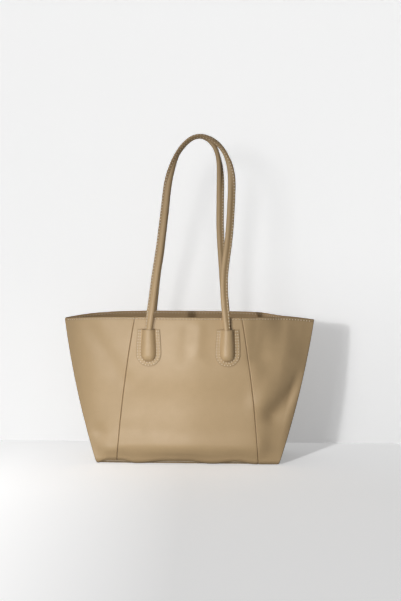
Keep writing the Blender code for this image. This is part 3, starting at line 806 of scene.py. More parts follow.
@dataclass(frozen=True)
class ThreadFinish(Finish):
    """Twisted thread or cord: slanting plies along the piece's own coordinates."""

    light: Colour
    dark: Colour
    plies: float
    turns: float

    def paint(self, board: NodeBoard, effects: Effects) -> dict[str, Any]:
        """Lays the plies and their fibres.

        Args:
            board: where the nodes go.
            effects: the shared node groups.

        Returns:
            The shader's inputs by name.
        """
        coordinates = board.add("TexCoord")
        parts = board.add("SeparateXYZ", {"Vector": coordinates.outputs["UV"]})
        slant = board.math("MULTIPLY_ADD", parts.outputs["X"], self.plies,
                           board.math("MULTIPLY", parts.outputs["Y"], self.turns))
        wave = board.math("SINE", board.math("MULTIPLY", slant, 2 * math.pi))
        fibre = board.noise(coordinates.outputs["Object"], 6000.0, 3.0)
        ridge = board.spread(board.math("MULTIPLY_ADD", fibre, 0.5, wave), -1.0, 1.4)
        drift = board.use(effects.drift, {"Vector": coordinates.outputs["Object"],
                                          "Size": 30.0})
        # Darker in the grooves between the plies: painted shade.
        colour = board.blend(ridge, rgba(self.dark), rgba(self.light))
        faint = board.spread(drift.outputs["Drift"], 0.0, 1.0, 0.0, 0.25)
        colour = board.blend(faint, colour, rgba(self.dark))
        bump = board.add("Bump", {"Height": ridge, "Strength": 0.6, "Distance": 0.00012})
        return {"Base Color": colour, "Normal": bump.outputs[0], "Roughness": 0.62,
                "Sheen Weight": 0.2}


@dataclass(frozen=True)
class BoardFinish(Finish):
    """Pressed fibre board."""

    fibre: Colour
    fleck: Colour

    def paint(self, board: NodeBoard, effects: Effects) -> dict[str, Any]:
        """Lays fibres that run the long way.

        Args:
            board: where the nodes go.
            effects: the shared node groups.

        Returns:
            The shader's inputs by name.
        """
        place = board.add("TexCoord").outputs["Object"]
        long_way = board.add("Mapping", {"Vector": place, "Scale": (1.0, 4.0, 4.0)})
        fibres = board.noise(long_way.outputs[0], 900.0, 5.0, 0.65)
        drift = board.use(effects.drift, {"Vector": place, "Size": 20.0})
        colour = board.blend(board.spread(fibres, 0.35, 0.65), rgba(self.fleck),
                             rgba(self.fibre))
        faint = board.spread(drift.outputs["Drift"], 0.0, 1.0, 0.0, 0.3)
        colour = board.blend(faint, colour, rgba(self.fleck))
        bump = board.add("Bump", {"Height": fibres, "Strength": 0.5, "Distance": 0.0001})
        return {"Base Color": colour, "Normal": bump.outputs[0], "Roughness": 0.85}


@dataclass(frozen=True)
class BrassFinish(Finish):
    """Pale plated brass with fine polishing marks."""

    face: Colour
    dull: Colour

    def paint(self, board: NodeBoard, effects: Effects) -> dict[str, Any]:
        """Lays dull patches and polishing marks.

        Args:
            board: where the nodes go.
            effects: the shared node groups.

        Returns:
            The shader's inputs by name.
        """
        place = board.add("TexCoord").outputs["Object"]
        marks = board.add("Mapping", {"Vector": place, "Scale": (1.0, 1.0, 14.0)})
        scratches = board.noise(marks.outputs[0], 1800.0, 4.0, 0.7)
        drift = board.use(effects.drift, {"Vector": place, "Size": 90.0})
        colour = board.blend(board.spread(drift.outputs["Cloud"], 0.0, 1.0, 0.0, 0.5),
                             rgba(self.face), rgba(self.dull))
        rough = board.spread(scratches, 0.3, 0.7, 0.16, 0.32)
        bump = board.add("Bump", {"Height": scratches, "Strength": 0.15, "Distance": 0.00003})
        return {"Base Color": colour, "Roughness": rough, "Normal": bump.outputs[0],
                "Metallic": 1.0}


# Third colour: darker cut edges, and painted shade in seams, stitch channels, the rim's edge and
# flanges.
LEATHER = LeatherFinish("smooth_tan_leather", (0.585, 0.415, 0.230), (0.545, 0.382, 0.207),
                        (0.330, 0.215, 0.105), 0.43, 1400.0, 0.50)
# The facing is the tan leather painted lighter than the outer leather: painted light that brightens
# the shaded inside of the rim.
LIGHTENED_FACING = LeatherFinish("facing_leather", (0.660, 0.455, 0.252), (0.610, 0.418, 0.228),
                       (0.400, 0.262, 0.132), 0.56, 1100.0, 0.50)
LINING = ClothFinish("lining_cotton", (0.560, 0.475, 0.355), (0.400, 0.330, 0.235), 0.0007,
                     0.00018)
WEB = ClothFinish("stay_web", (0.640, 0.600, 0.520), (0.460, 0.420, 0.350), 0.0010, 0.00025)
THREAD = ThreadFinish("sewing_thread", (0.960, 0.860, 0.660), (0.820, 0.700, 0.500), 2.0, 3.0)
CORD = ThreadFinish("handle_core_cord", (0.700, 0.680, 0.620), (0.430, 0.410, 0.360), 3.0,
                    110.0)
BOARD = BoardFinish("pressed_board", (0.235, 0.225, 0.205), (0.150, 0.143, 0.130))
BRASS = BrassFinish("pale_brass", (0.780, 0.620, 0.360), (0.600, 0.450, 0.240))


@dataclass
class Finishes:
    """Every material of the bag, made once."""

    effects: Effects = field(default_factory=Effects)

    def __post_init__(self) -> None:
        """Makes the materials from their finishes."""
        self.leather = LEATHER.make(self.effects)
        self.facing = LIGHTENED_FACING.make(self.effects)
        self.lining = LINING.make(self.effects)
        self.web = WEB.make(self.effects)
        self.thread = THREAD.make(self.effects)
        self.cord = CORD.make(self.effects)
        self.board = BOARD.make(self.effects)
        self.brass = BRASS.make(self.effects)


def mark_edges(piece: bpy.types.Object, near: Array) -> None:
    """Stores how much each point is darkened, from 0 to 1: darker cut edges, and painted shade at
    seams, stitch channels, the rim's edge and flanges.
    """
    layer = piece.data.attributes.new("edge", "FLOAT", "POINT")
    layer.data.foreach_set("value", np.asarray(near, np.float32))


# Leather body


@dataclass
class LeatherShell:
    """The panels of front and back, the two gussets and the base."""

    finishes: Finishes
    form: BagForm = FORM
    roll_rows: int = 9
    rim_cell: float = 0.0009
    rim_rows: int = 9
    cell: float = 0.0026
    turn_steps: int = 5
    channel_depth: float = 0.0004
    channel_reach: float = 0.0011
    cut_edge: float = 0.0003
    # Painted shade: the seams, the rim's stitch channel and the rim's turned edge are painted
    # darker.
    dark_edge_reach: float = 0.0022
    rim_shade_reach: float = 0.0013
    seam_shade: float = 0.3
    channel_shade: float = 0.8
    gusset_columns: int = 34
    base_columns: int = 100
    base_rows: int = 34
    base_slant: float = 0.0004

    def __post_init__(self) -> None:
        """Works out the rise of each row, from the hidden bottom edge to the rim."""
        form = self.form
        arc = form.turn * (1 - np.cos(np.linspace(0, QUARTER_TURN, self.turn_steps + 1)))
        fine = form.turn + self.rim_cell * np.arange(1, self.rim_rows + 1)
        height = form.rim_top - form.base_roll
        rest = np.linspace(fine[-1], height, round((height - fine[-1]) / self.cell) + 1)[1:]
        drops = np.concatenate((arc, fine, rest))
        roll = np.linspace(0, 1, self.roll_rows + 1)
        self.rises = np.concatenate((roll, (2 - drops / height)[::-1][1:]))

    def build(self) -> None:
        """Builds and dresses every leather piece of the body."""
        for side in Side:
            self.panel(side, None)
            for hand in Hand:
                self.panel(side, hand)
            self.gusset(side)
        self.base()

    def dress(self, piece: bpy.types.Object, node: str) -> None:
        """Gives a piece its thickness, its leather and its place in the frame."""
        thicken(piece, self.form.leather, self.cut_edge)
        fit_out(piece, self.finishes.leather, "bag", [node])

    def panel(self, side: Side, hand: Hand | None) -> None:
        """Builds one panel with turned edges.

        Args:
            side: front or back.
            hand: left or right panel, or None for the centre panel.
        """
        form = self.form
        wide = form.seam_rim_span if hand is None else form.rim_width / 2 - form.seam_rim_span / 2
        columns = 2 * self.turn_steps + round(wide / self.cell)
        near: list[Array] = []

        def place(column: Array, row: Array) -> tuple[Array, Array]:
            """Lays the grid on the wall."""
            rise = self.rises[row.astype(int)]
            level = form.level_at(rise, 0.0)
            half = form.half_width(level)
            seam = form.seam_across(level) * half
            first = last = form.seam_turn
            if hand is None:
                start, width = -seam + form.clearance / 2, 2 * seam - form.clearance
            elif hand is Hand.LEFT:
                start, width = -half, half - seam - form.clearance / 2
                first = form.turn
            else:
                start, width = seam + form.clearance / 2, half - seam - form.clearance / 2
                last = form.turn
            along = stations(column, columns, self.turn_steps, first, last, width)
            across = (start + along) / half
            point = form.skin(across, rise, side)
            drop = np.where(rise > 1, form.rim_height(across) - point[:, 2], 1.0)
            edges = (along * form.turn / first, (width - along) * form.turn / last)
            inset = turned_edge((np.minimum(*edges), drop), form.turn)
            groove = self.channel_depth * hill(drop - form.stitch_drop, self.channel_reach)
            point = form.wall(across, rise, inset + groove, side)
            # Painted shade: darker along the seams, in the stitch channel and in a thin line on the
            # rim's edge.
            edge_dark = self.seam_shade * (1 - ease(np.minimum(*edges) / self.dark_edge_reach))
            sewn = self.channel_shade * hill(drop - form.stitch_drop, self.channel_reach)
            near.append(np.maximum.reduce((edge_dark, sewn, 1 - ease(drop / self.rim_shade_reach))))
            return point, np.stack((start + along, form.rim_height(across) * level), -1)

        word = "centre" if hand is None else hand.word(side)
        name = f"{side.word}_{word}_leather"
        piece = lay_grid(name, columns, len(self.rises) - 1, place, side)
        mark_edges(piece, near[0])
        self.dress(piece, f"{side.word}_{word}_panel")

    def gusset(self, side: Side) -> None:
        """Builds the folded side that belongs to a side's left edge.

        Args:
            side: the front gives the left gusset and the back the right one.
        """
        edge = self.form.leather
        word = Hand.LEFT.word(side)
        name = f"{word}_gusset_leather"
        piece = lay_gusset(name, side, 0.0, edge, edge, 0.0, self.gusset_columns, self.rises)
        self.dress(piece, f"{word}_gusset")

    def base(self) -> None:
        """Builds the leather under the base."""
        form = self.form
        columns, rows = self.base_columns, 2 * self.turn_steps + self.base_rows

        def place(column: Array, row: Array) -> tuple[Array, Array]:
            """Lays the grid on the ground."""
            along = stations(column, columns, self.turn_steps, form.turn, form.turn,
                             np.full_like(column, form.base_width))
            x = along - form.base_width / 2
            reach = form.depth(x / (form.base_width / 2), 0.0, Side.FRONT)
            reach = reach - form.base_roll - self.base_slant - form.clearance
            across = stations(row, rows, self.turn_steps, form.turn, form.turn, 2 * reach)
            ends = np.minimum(along, form.base_width - along)
            sides = np.minimum(across, 2 * reach - across)
            inset = turned_edge((ends, sides), form.turn)
            return np.stack((x, reach - across, inset), -1), np.stack((x, across), -1)

        self.dress(lay_grid("base_leather", columns, rows, place, Side.FRONT), "base_panel")


def lay_gusset(name: str, side: Side, inset: float, edge: float, foot: float, drop: float,
               columns: int, rises: Array) -> bpy.types.Object:
    """The folded side between front and back, or the lining behind it.

    Args:
        name: name of the piece.
        side: the front's left end, or the back's, turned half a turn.
        inset: depth of the layer behind the gusset's face.
        edge: depth under the faces of front and back at which its edges meet their layer.
        foot: height at which it starts.
        drop: distance of its top from the rim.
        columns: faces across it.
        rises: rise of each row of the wall beside it.

    Returns:
        The sheet, without thickness.
    """
    form = FORM
    first = form.roll_rise_at(foot, edge)
    top = form.rise_at(form.rim_height(1.0) - drop, 1.0)
    turn = form.turn - form.gusset_turn_gap

    def place(column: Array, row: Array) -> tuple[Array, Array]:
        """Lays the grid between the two walls."""
        rise = rises[row.astype(int)]
        rise = np.where(rise < 1, mix(first, 1, rise), 1 + (rise - 1) * (top - 1))
        angle = np.clip(rise, 0, 1) * QUARTER_TURN
        reach = form.base_roll - edge
        height = np.where(rise < 1, form.base_roll - reach * np.cos(angle),
                          form.level_at(rise, 1.0) * form.rim_height(1.0))
        level = height / form.rim_height(1.0)
        slope = form.edge_slope(level, -1, side)
        half = form.edge_depth(level) - form.base_roll + reach * np.sin(angle)
        half = half + edge * (1 + slope - np.hypot(1, slope))
        rounded = np.minimum(turn, form.gusset_turn_share * half)
        along = stations(column, columns, GUSSET_TURN_STEPS, rounded, rounded, 2 * half)
        share = 2 * along / (2 * half) - 1
        fold = 4 * form.gusset_tuck * level * (1 - level) * (1 - share * share)
        crease = (1 - np.abs(share)) ** form.gusset_crease_power
        fold = fold + form.gusset_crease * level * crease
        sides = np.minimum(along, 2 * half - along)
        from_top = np.where(rise > 1, form.rim_height(1.0) - height, 1.0)
        turned = turned_edge((sides, from_top), turn) if drop == 0 else 0.0
        x = inset + fold + turned - form.half_width(level)
        return np.stack((x, half - along, height), -1), np.stack((along - half, height), -1)

    return lay_grid(name, columns, len(rises) - 1, place, side)


# Layers inside the leather


@dataclass
class Lining:
    """The cotton lining: front, back, two sides and base."""

    finishes: Finishes
    form: BagForm = FORM
    columns: int = 96
    rows: int = 60
    roll_rows: int = 6
    end_columns: int = 24
    base_rows: int = 30
    foot_rise: float = 0.0006
    hem_gap: float = 0.0001
    crumple: float = 0.0006
    crumple_foot: float = 0.05  # shares of the height between which the lining is loose
    crumple_top: float = 0.80
    crumple_fade: float = 0.2
    crumple_edge: float = 0.1

    def __post_init__(self) -> None:
        """Works out how high the base lining lies, and where the walls' lining starts."""
        form = self.form
        self.base_height = form.leather + form.board + 2 * form.clearance
        self.foot = self.base_height + form.lining + self.foot_rise
        roll = np.linspace(0, 1, self.roll_rows + 1)
        self.rises = np.concatenate((roll, np.linspace(1, 2, self.rows)[1:]))

    def build(self) -> None:
        """Builds and dresses the lining."""
        for side in Side:
            self.wall(side)
            self.end(side)
        self.base()

    def dress(self, piece: bpy.types.Object, node: str) -> None:
        """Gives a lining its thickness, its cloth and its place in the frame."""
        thicken(piece, self.form.lining)
        fit_out(piece, self.finishes.lining, "bag", [node])

    def wall(self, side: Side) -> None:
        """Builds the lining of the front or back.

        Args:
            side: front or back.
        """
        form = self.form
        first = form.roll_rise_at(self.foot, form.liner_inset)

        def place(column: Array, row: Array) -> tuple[Array, Array]:
            """Lays the grid inside the wall."""
            rise = self.rises[row.astype(int)]
            share = 2 * column / self.columns - 1
            level = form.level_at(rise, 1.0)
            slope = form.edge_slope(level, np.where(share < 0, -1, 1), side)
            hem = form.liner_inset * (1 - slope / np.hypot(1, slope)) + self.hem_gap
            across = share * (1 - hem / form.half_width(level))
            top = form.rise_at(
                form.rim_height(across) - form.facing_height - form.clearance, across
            )
            rise = np.where(rise < 1, mix(first, 1, rise), 1 + (rise - 1) * (top - 1))
            loose = self.crumple * ease((level - self.crumple_foot) / self.crumple_fade)
            loose = loose * ease((self.crumple_top - level) / self.crumple_fade)
            loose = loose * ease((1 - np.abs(share)) / self.crumple_edge)
            wave = 1 + np.sin(34 * share + 9 * level) * np.cos(13 * level - 5 * share)
            inset = form.liner_inset + loose * wave
            point = form.wall(across, rise, inset, side)
            return point, np.stack((point[:, 0], point[:, 2]), -1)

        name = f"{side.word}_lining_cloth"
        piece = lay_grid(name, self.columns, len(self.rises) - 1, place, side)
        self.dress(piece, f"{side.word}_lining")

    def end(self, side: Side) -> None:
        """Builds the lining of a gusset.

        Args:
            side: the front's left end, or the back's.
        """
        form = self.form
        word = Hand.LEFT.word(side)
        edge = form.liner_inset + form.lining
        piece = lay_gusset(f"{word}_lining_cloth", side, form.liner_inset, edge, self.foot,
                           form.facing_height + form.clearance, self.end_columns, self.rises)
        self.dress(piece, f"{word}_lining")

    def base(self) -> None:
        """Builds the lining over the base board."""
        form = self.form
        angle = form.roll_angle_at(self.foot, form.liner_inset)
        bend = (form.base_roll - form.liner_inset) * math.sin(angle)
        length = form.base_width - 2 * form.liner_inset

        def place(column: Array, row: Array) -> tuple[Array, Array]:
            """Lays the grid on the board."""
            x = length * (column / self.columns - 0.5)
            reach = form.depth(2 * x / length, 0.0, Side.FRONT)
            reach = reach - form.base_roll + bend - form.clearance
            y = reach * (1 - 2 * row / self.base_rows)
            height = np.full_like(x, self.base_height)
            return np.stack((x, y, height), -1), np.stack((x, y), -1)

        piece = lay_grid("base_lining_cloth", self.columns, self.base_rows, place, Side.FRONT)
        self.dress(piece, "base_lining")


@dataclass(frozen=True)
class Stitching:
    """Thread laid over a surface in short, fat stitches."""

    pitch: float
    length: float
    width: float
    sink: float = 0.00012
    flatness: float = 0.42
    stand: float = 0.35  # share of its width at which a stitch's middle lies

    def row(self, name: str, paths: Sequence[tuple[Array, Array]],
            side: Side) -> bpy.types.Object:
        """Builds rows of stitches as one piece.

        Args:
            name: name of the piece.
            paths: points of each row and the directions out of the surface there.
            side: the back is turned half a turn.

        Returns:
            The piece with every stitch.
        """
        places = [self.places(points, normals) for points, normals in paths]
        middle, beside, out, along = (np.concatenate(part) for part in zip(*places))
        thread = bmesh.new()
        thread.loops.layers.uv.new("UVMap")
        bmesh.ops.create_uvsphere(thread, u_segments=8, v_segments=6, radius=1.0,
                                  calc_uvs=True)
        for face in thread.faces:
            face.smooth = True
        mesh = bpy.data.meshes.new(name)
        thread.to_mesh(mesh)
        thread.clear()
        thread.from_mesh(mesh)
        bpy.data.meshes.remove(mesh)
        ball = np.array([v.co[:] for v in thread.verts])
        sizes = [len(part) for part in (thread.verts, thread.edges, thread.faces)]
        made = 1
        while made < len(middle):
            more = min(made, len(middle) - made)
            parts = (thread.verts, thread.edges, thread.faces)
            copied = [one for part, size in zip(parts, sizes) for one in part[:][:more * size]]
            bmesh.ops.duplicate(thread, geom=copied)
            made += more
        points = (middle[:, None] + beside[:, None] * ball[None, :, :1] * self.width / 2
                  + out[:, None] * ball[None, :, 1:2] * self.width * self.flatness
                  + along[:, None] * ball[None, :, 2:] * self.length / 2)
        for vert, point in zip(thread.verts, points.reshape(-1, 3)):
            vert.co = point
        if side is Side.BACK:
            thread.transform(HALF_TURN)
        return add_piece(name, thread)

    def places(self, points: Array, normals: Array) -> tuple[Array, Array, Array, Array]:
        """Works out where the stitches of a row lie.

        Args:
            points: points of the row.
            normals: directions out of the surface at those points.

        Returns:
            Middle of each stitch, and the directions beside, out of and along it.
        """
        travelled = path_lengths(points)
        count = max(1, int(travelled[-1] / self.pitch))
        at = (np.arange(count) + 0.5) * travelled[-1] / count
        start, middle, end = (sampled(points, travelled, at + half)
                              for half in (-self.length / 2, 0.0, self.length / 2))
        along = unit(end - start)
        out = sampled(normals, travelled, at)
        out = unit(out - along * np.sum(out * along, axis=1, keepdims=True))
        middle = middle + out * (self.width * self.stand - self.sink)
        return middle, np.cross(out, along), out, along


@dataclass
class RimBand:
    """What finishes the rim: leather facing inside, stay web between, and the stitch row."""

    finishes: Finishes
    form: BagForm = FORM
    columns: int = 150
    cut_edge: float = 0.00035
    dark_edge_reach: float = 0.002
    tape_height: float = 0.008
    tape_drop: float = 0.0018
    tape_rows: int = 8
    tape_end: float = 0.013  # distance from the side edge
    tape_gap: float = 0.0001
    stitch_end: float = 0.0055  # distance from the side edge
    stitch_press: float = 0.00025
    stitch_samples: int = 400
    stitching: Stitching = Stitching(0.0052, 0.0023, 0.0018)

    def build(self) -> None:
        """Builds and dresses facing, web and stitches of both rims."""
        for side in Side:
            self.facing(side)
            self.tape(side)
            self.stitches(side)

    def facing(self, side: Side) -> None:
        """Builds the leather band inside a rim.

        Args:
            side: front or back.
        """
        form = self.form
        reach = 1 - form.facing_end / form.half_width(1.0)
        drops = np.concatenate((np.linspace(0.0002, 0.0030, 6), np.linspace(0.0036, 0.0070, 6),
                                np.linspace(0.0085, form.facing_height, 14)))[::-1]
        near: list[Array] = []

        def place(column: Array, row: Array) -> tuple[Array, Array]:
            """Lays the grid inside the rim."""
            across = reach * (2 * column / self.columns - 1)
            drop = drops[row.astype(int)]
            height = form.rim_height(across) - drop
            inset = form.facing_inset(drop)
            edge = np.minimum(drop, form.facing_height - drop)
            near.append(1 - ease(edge / self.dark_edge_reach))
            point = form.wall(across, form.rise_at(height, across), inset, side)
            return point, np.stack((point[:, 0], height), -1)

        name = f"{side.word}_facing_leather"
        piece = lay_grid(name, self.columns, len(drops) - 1, place, side)
        mark_edges(piece, near[0])
        thicken(piece, form.facing, self.cut_edge)
        # Its finish is painted lighter than the outer leather: painted light for the shaded inside
        # of the rim.
        fit_out(piece, self.finishes.facing, "bag",
                [f"{side.word}_rim_facing"])

    def tape(self, side: Side) -> None:
        """Builds the stay web between leather and facing.

        Args:
            side: front or back.
        """
        form = self.form
        reach = 1 - self.tape_end / form.half_width(1.0)

        def place(column: Array, row: Array) -> tuple[Array, Array]:
            """Lays the grid under the leather."""
            across = reach * (2 * column / self.columns - 1)
            drop = self.tape_drop + self.tape_height * (1 - row / self.tape_rows)
            height = form.rim_height(across) - drop
            inset = form.leather + self.tape_gap
            point = form.wall(across, form.rise_at(height, across), inset, side)
            return point, np.stack((point[:, 0], height), -1)

        piece = lay_grid(f"{side.word}_rim_web", self.columns, self.tape_rows, place, side)
        thicken(piece, form.stay)
        fit_out(piece, self.finishes.web, "bag", [f"{side.word}_rim_tape"])

    def stitches(self, side: Side) -> None:
        """Sews the rim: one row that shows outside and inside.

        Args:
            side: front or back.
        """
        form = self.form
        reach = 1 - self.stitch_end / form.half_width(1.0)
        across = np.linspace(-1, 1, self.stitch_samples) * reach
        rise = form.rise_at(form.rim_height(across) - form.stitch_drop, across)
        normals = form.normal(across, rise, side)
        outside = form.wall(across, rise, self.stitch_press, side)
        inside = form.wall(across, rise, form.facing_inset(form.stitch_drop) + form.facing, side)
        piece = self.stitching.row(f"{side.word}_rim_stitches",
                                   [(outside, normals), (inside, -normals)], side)
        fit_out(piece, self.finishes.thread, "bag", [])


# Handle tabs


@dataclass
class HandleTabs:
    """Four leather tabs with a padded middle, sewn over the ends of the handles."""

    finishes: Finishes
    form: BagForm = FORM
    spacing: float = 0.133
    drop_from_rim: float = 0.0203
    mouth_width: float = 0.037
    width: float = 0.042
    length: float = 0.0625
    leather: float = 0.0015
    bulge_mouth: float = 0.0215
    bulge_width: float = 0.0250
    bulge_margin: float = 0.008
    bulge_end: float = 0.014
    bulge_height: float = 0.0095
    bulge_power: float = 2.4
    patch_margin: float = 0.004
    side_steps: int = 26
    tip_steps: int = 30
    ring_steps: int = 20
    outer_row: float = 0.0024
    inner_row: float = 0.0013
    dimple: float = 0.0003
    # Painted shade in the stitch channels.
    channel_shade: float = 0.7
    channel_reach: float = 0.0009
    dark_edge_reach: float = 0.0014
    mouth_wear: float = 0.0004  # how much less the mouth edge is darkened than the other edges
    dimple_reach: float = 0.0008
    pressed: float = 0.0002
    pressed_reach: float = 0.0016
    ring_power: float = 0.9
    cut_edge: float = 0.00042
    patch_columns: int = 16
    patch_rows: int = 20
    patch_round: float = 0.95
    row_end: float = 0.6  # steps that the outer stitch row keeps from the mouth
    row_samples: int = 160
    stitching: Stitching = Stitching(0.0048, 0.0022, 0.0017)

    @property
    def mouth(self) -> float:
        """Height of the tabs' mouths."""
        return self.form.rim_top - self.drop_from_rim

    @property
    def shoulder(self) -> float:
        """Distance from a mouth to where the round end starts."""
        return self.length - self.width / 2

    @property
    def last_step(self) -> int:
        """The number of the last step along a tab's outline."""
        return 2 * self.side_steps + self.tip_steps

    @property
    def bulge_start(self) -> float:
        """Distance from a mouth to where the padding's round end starts."""
        return self.length - self.bulge_margin - self.bulge_end

    @property
    def inner_half(self) -> float:
        """Half the width between the two sides of the inner stitch row."""
        return self.bulge_width / 2 + self.inner_row

    def half_width(self, drop: Any) -> Any:
        """Half the tab's width at a distance below its mouth, above the round end."""
        swell = np.sin(np.clip(drop / self.shoulder, 0, 1) * QUARTER_TURN)
        return mix(self.mouth_width, self.width, swell) / 2

    def bulge(self, offset: Any, drop: Any) -> Any:
        """Height of the padded middle over the flat of the tab."""
        along = np.clip(drop - self.bulge_start, 0, None) / self.bulge_end
        power = self.bulge_power
        half = mix(self.bulge_mouth, self.bulge_width, ease(drop / self.bulge_start)) / 2
        left = np.clip(1 - (np.abs(offset) / half) ** power - along ** power, 0, 1)
        return self.bulge_height * left ** 0.7 * (1 - np.exp(-left / 0.06))

    def past_padding(self, offset: Any, drop: Any) -> Any:
        """About how far a place lies outside the inner stitch row."""
        half = self.inner_half
        below = np.clip(drop - self.bulge_start, 0, None) / (self.bulge_end + self.inner_row)
        return (np.hypot(offset / half, below) - 1) * half

    def outline(self, steps: Array, inset: float) -> tuple[Array, Array]:
        """The tab's edge, moved inwards: from the right of the mouth round to the left.

        Args:
            steps: places along it, 0 to twice the side steps plus the tip steps.
            inset: distance from the edge.

        Returns:
            Offsets from the tab's middle line, and distances below its mouth.
        """
        last = self.last_step
        angle = np.clip((steps - self.side_steps) / self.tip_steps, 0, 1) * math.pi
        radius = self.width / 2 - inset
        hand = np.where(steps < last / 2, 1.0, -1.0)
        down = np.minimum(steps, last - steps) / self.side_steps
        drop = np.clip(down, 0, 1) * self.shoulder
        offset = hand * (self.half_width(drop) - inset)
        rounded = (steps >= self.side_steps) & (steps <= last - self.side_steps)
        offset = np.where(rounded, radius * np.cos(angle), offset)
        drop = np.where(rounded, self.shoulder + radius * np.sin(angle), drop)
        return offset, drop

    def out(self, offset: Any, drop: Any, edge: Any) -> Any:
        """How far the tab's face stands out from the wall.

        Args:
            offset: distances from the tab's middle line.
            drop: distances below the mouth.
            edge: distances from the tab's outline.

        Returns:
            Distance from the wall for each place.
        """
        flat = self.form.clearance + self.leather
        bulge = self.bulge(offset, drop)
        dent = self.dimple * hill(edge - self.outer_row, self.dimple_reach)
        pressed = self.pressed * (1 - ease(edge / self.pressed_reach))
        return flat + bulge - dent - pressed

    def build(self) -> None:
        """Builds and dresses the tabs, the patches behind them and their thread."""
        for side in Side:
            for hand in Hand:
                self.tab(side, hand)
                self.patch(side, hand)
                self.stitches(side, hand)

    def tab(self, side: Side, hand: Hand) -> None:
        """Builds one tab as rings round its middle line.

        Args:
            side: front or back.
            hand: left or right as the front's tab lies.
        """
        near: list[Array] = []

        def place(column: Array, row: Array) -> tuple[Array, Array]:
            """Lays the rings on the wall."""
            edge_offset, edge_drop = self.outline(column, 0.0)
            share = np.sin(row / self.ring_steps * QUARTER_TURN) ** self.ring_power
            offset = edge_offset * share
            drop = mix(np.minimum(edge_drop, self.shoulder), edge_drop, share)
            reach = np.hypot(edge_offset, edge_drop - np.minimum(edge_drop, self.shoulder))
            edge = reach * (1 - share)
            # Darker cut edges, and painted shade in the stitch channels.
            edge_dark = 1 - ease(np.minimum(edge, drop + self.mouth_wear) / self.dark_edge_reach)
            sewn = np.maximum(hill(edge - self.outer_row, self.channel_reach),
                              hill(self.past_padding(offset, drop), self.channel_reach))
            near.append(np.maximum(edge_dark, self.channel_shade * sewn))
            x = hand.value * self.spacing / 2 + offset
            point = self.form.over(x, self.mouth - drop, self.out(offset, drop, edge), side)
            return point, np.stack((x, drop), -1)

        word = hand.word(side)
        name = f"{side.word}_{word}_tab_leather"
        piece = lay_grid(name, self.last_step, self.ring_steps, place, side)
        mark_edges(piece, near[0])
        shape = bmesh.new()
        shape.from_mesh(piece.data)
        bmesh.ops.remove_doubles(shape, verts=shape.verts, dist=WELD)
        shape.to_mesh(piece.data)
        shape.free()
        thicken(piece, self.leather, self.cut_edge)
        fit_out(piece, self.finishes.leather, "bag",
                [f"{side.word}_{word}_handle_tab"])

    def patch(self, side: Side, hand: Hand) -> None:
        """Builds the stiff web inside the wall behind a tab.

        Args:
            side: front or back.
            hand: left or right as the front's tab lies.
        """
        form = self.form

        def place(column: Array, row: Array) -> tuple[Array, Array]:
            """Lays the grid behind the leather."""
            drop = mix(self.length - self.patch_margin, self.patch_margin, row / self.patch_rows)
            half = self.mouth_width / 2 - self.patch_margin
            below = np.clip(drop - self.shoulder, 0, None) / (self.width / 2)
            half = half * np.sqrt(1 - np.minimum(below, self.patch_round) ** 2)
            share = column / (self.patch_columns / 2) - 1
            x = hand.value * self.spacing / 2 + half * share
            point = form.over(x, self.mouth - drop, -form.stay_inset, side)
            return point, np.stack((x, drop), -1)

        word = hand.word(side)
        piece = lay_grid(f"{side.word}_{word}_tab_web", self.patch_columns, self.patch_rows,
                         place, side)
        thicken(piece, form.stay)
        fit_out(piece, self.finishes.web, "bag", [f"{side.word}_{word}_tab_patch"])

    def stitches(self, side: Side, hand: Hand) -> None:
        """Sews a tab: one row near its edge and one that hugs the padded middle.

        Args:
            side: front or back.
            hand: left or right as the front's tab lies.
        """
        steps = np.linspace(self.row_end, self.last_step - self.row_end, self.row_samples)
        start, half = self.bulge_start, self.inner_half
        turn = np.linspace(0, math.pi, 60)
        straight = np.linspace(0.001, start, 40, endpoint=False)
        inner_offset = np.concatenate((np.full(40, half), half * np.cos(turn),
                                       np.full(40, -half)))
        inner_drop = np.concatenate((
            straight, start + (self.bulge_end + self.inner_row) * np.sin(turn), straight[::-1]
        ))
        rows = [(*self.outline(steps, self.outer_row), self.outer_row),
                (inner_offset, inner_drop, 1.0)]
        paths = []
        for offset, drop, edge in rows:
            x, z = hand.value * self.spacing / 2 + offset, self.mouth - drop
            out = self.out(offset, drop, edge)
            face = self.form.over(x, z, out, side)
            foot = self.form.over(x, z, out - 0.004, side)
            paths.append((face, face - foot))
        word = hand.word(side)
        piece = self.stitching.row(f"{side.word}_{word}_tab_stitches", paths, side)
        fit_out(piece, self.finishes.thread, "bag", [])


# Handles

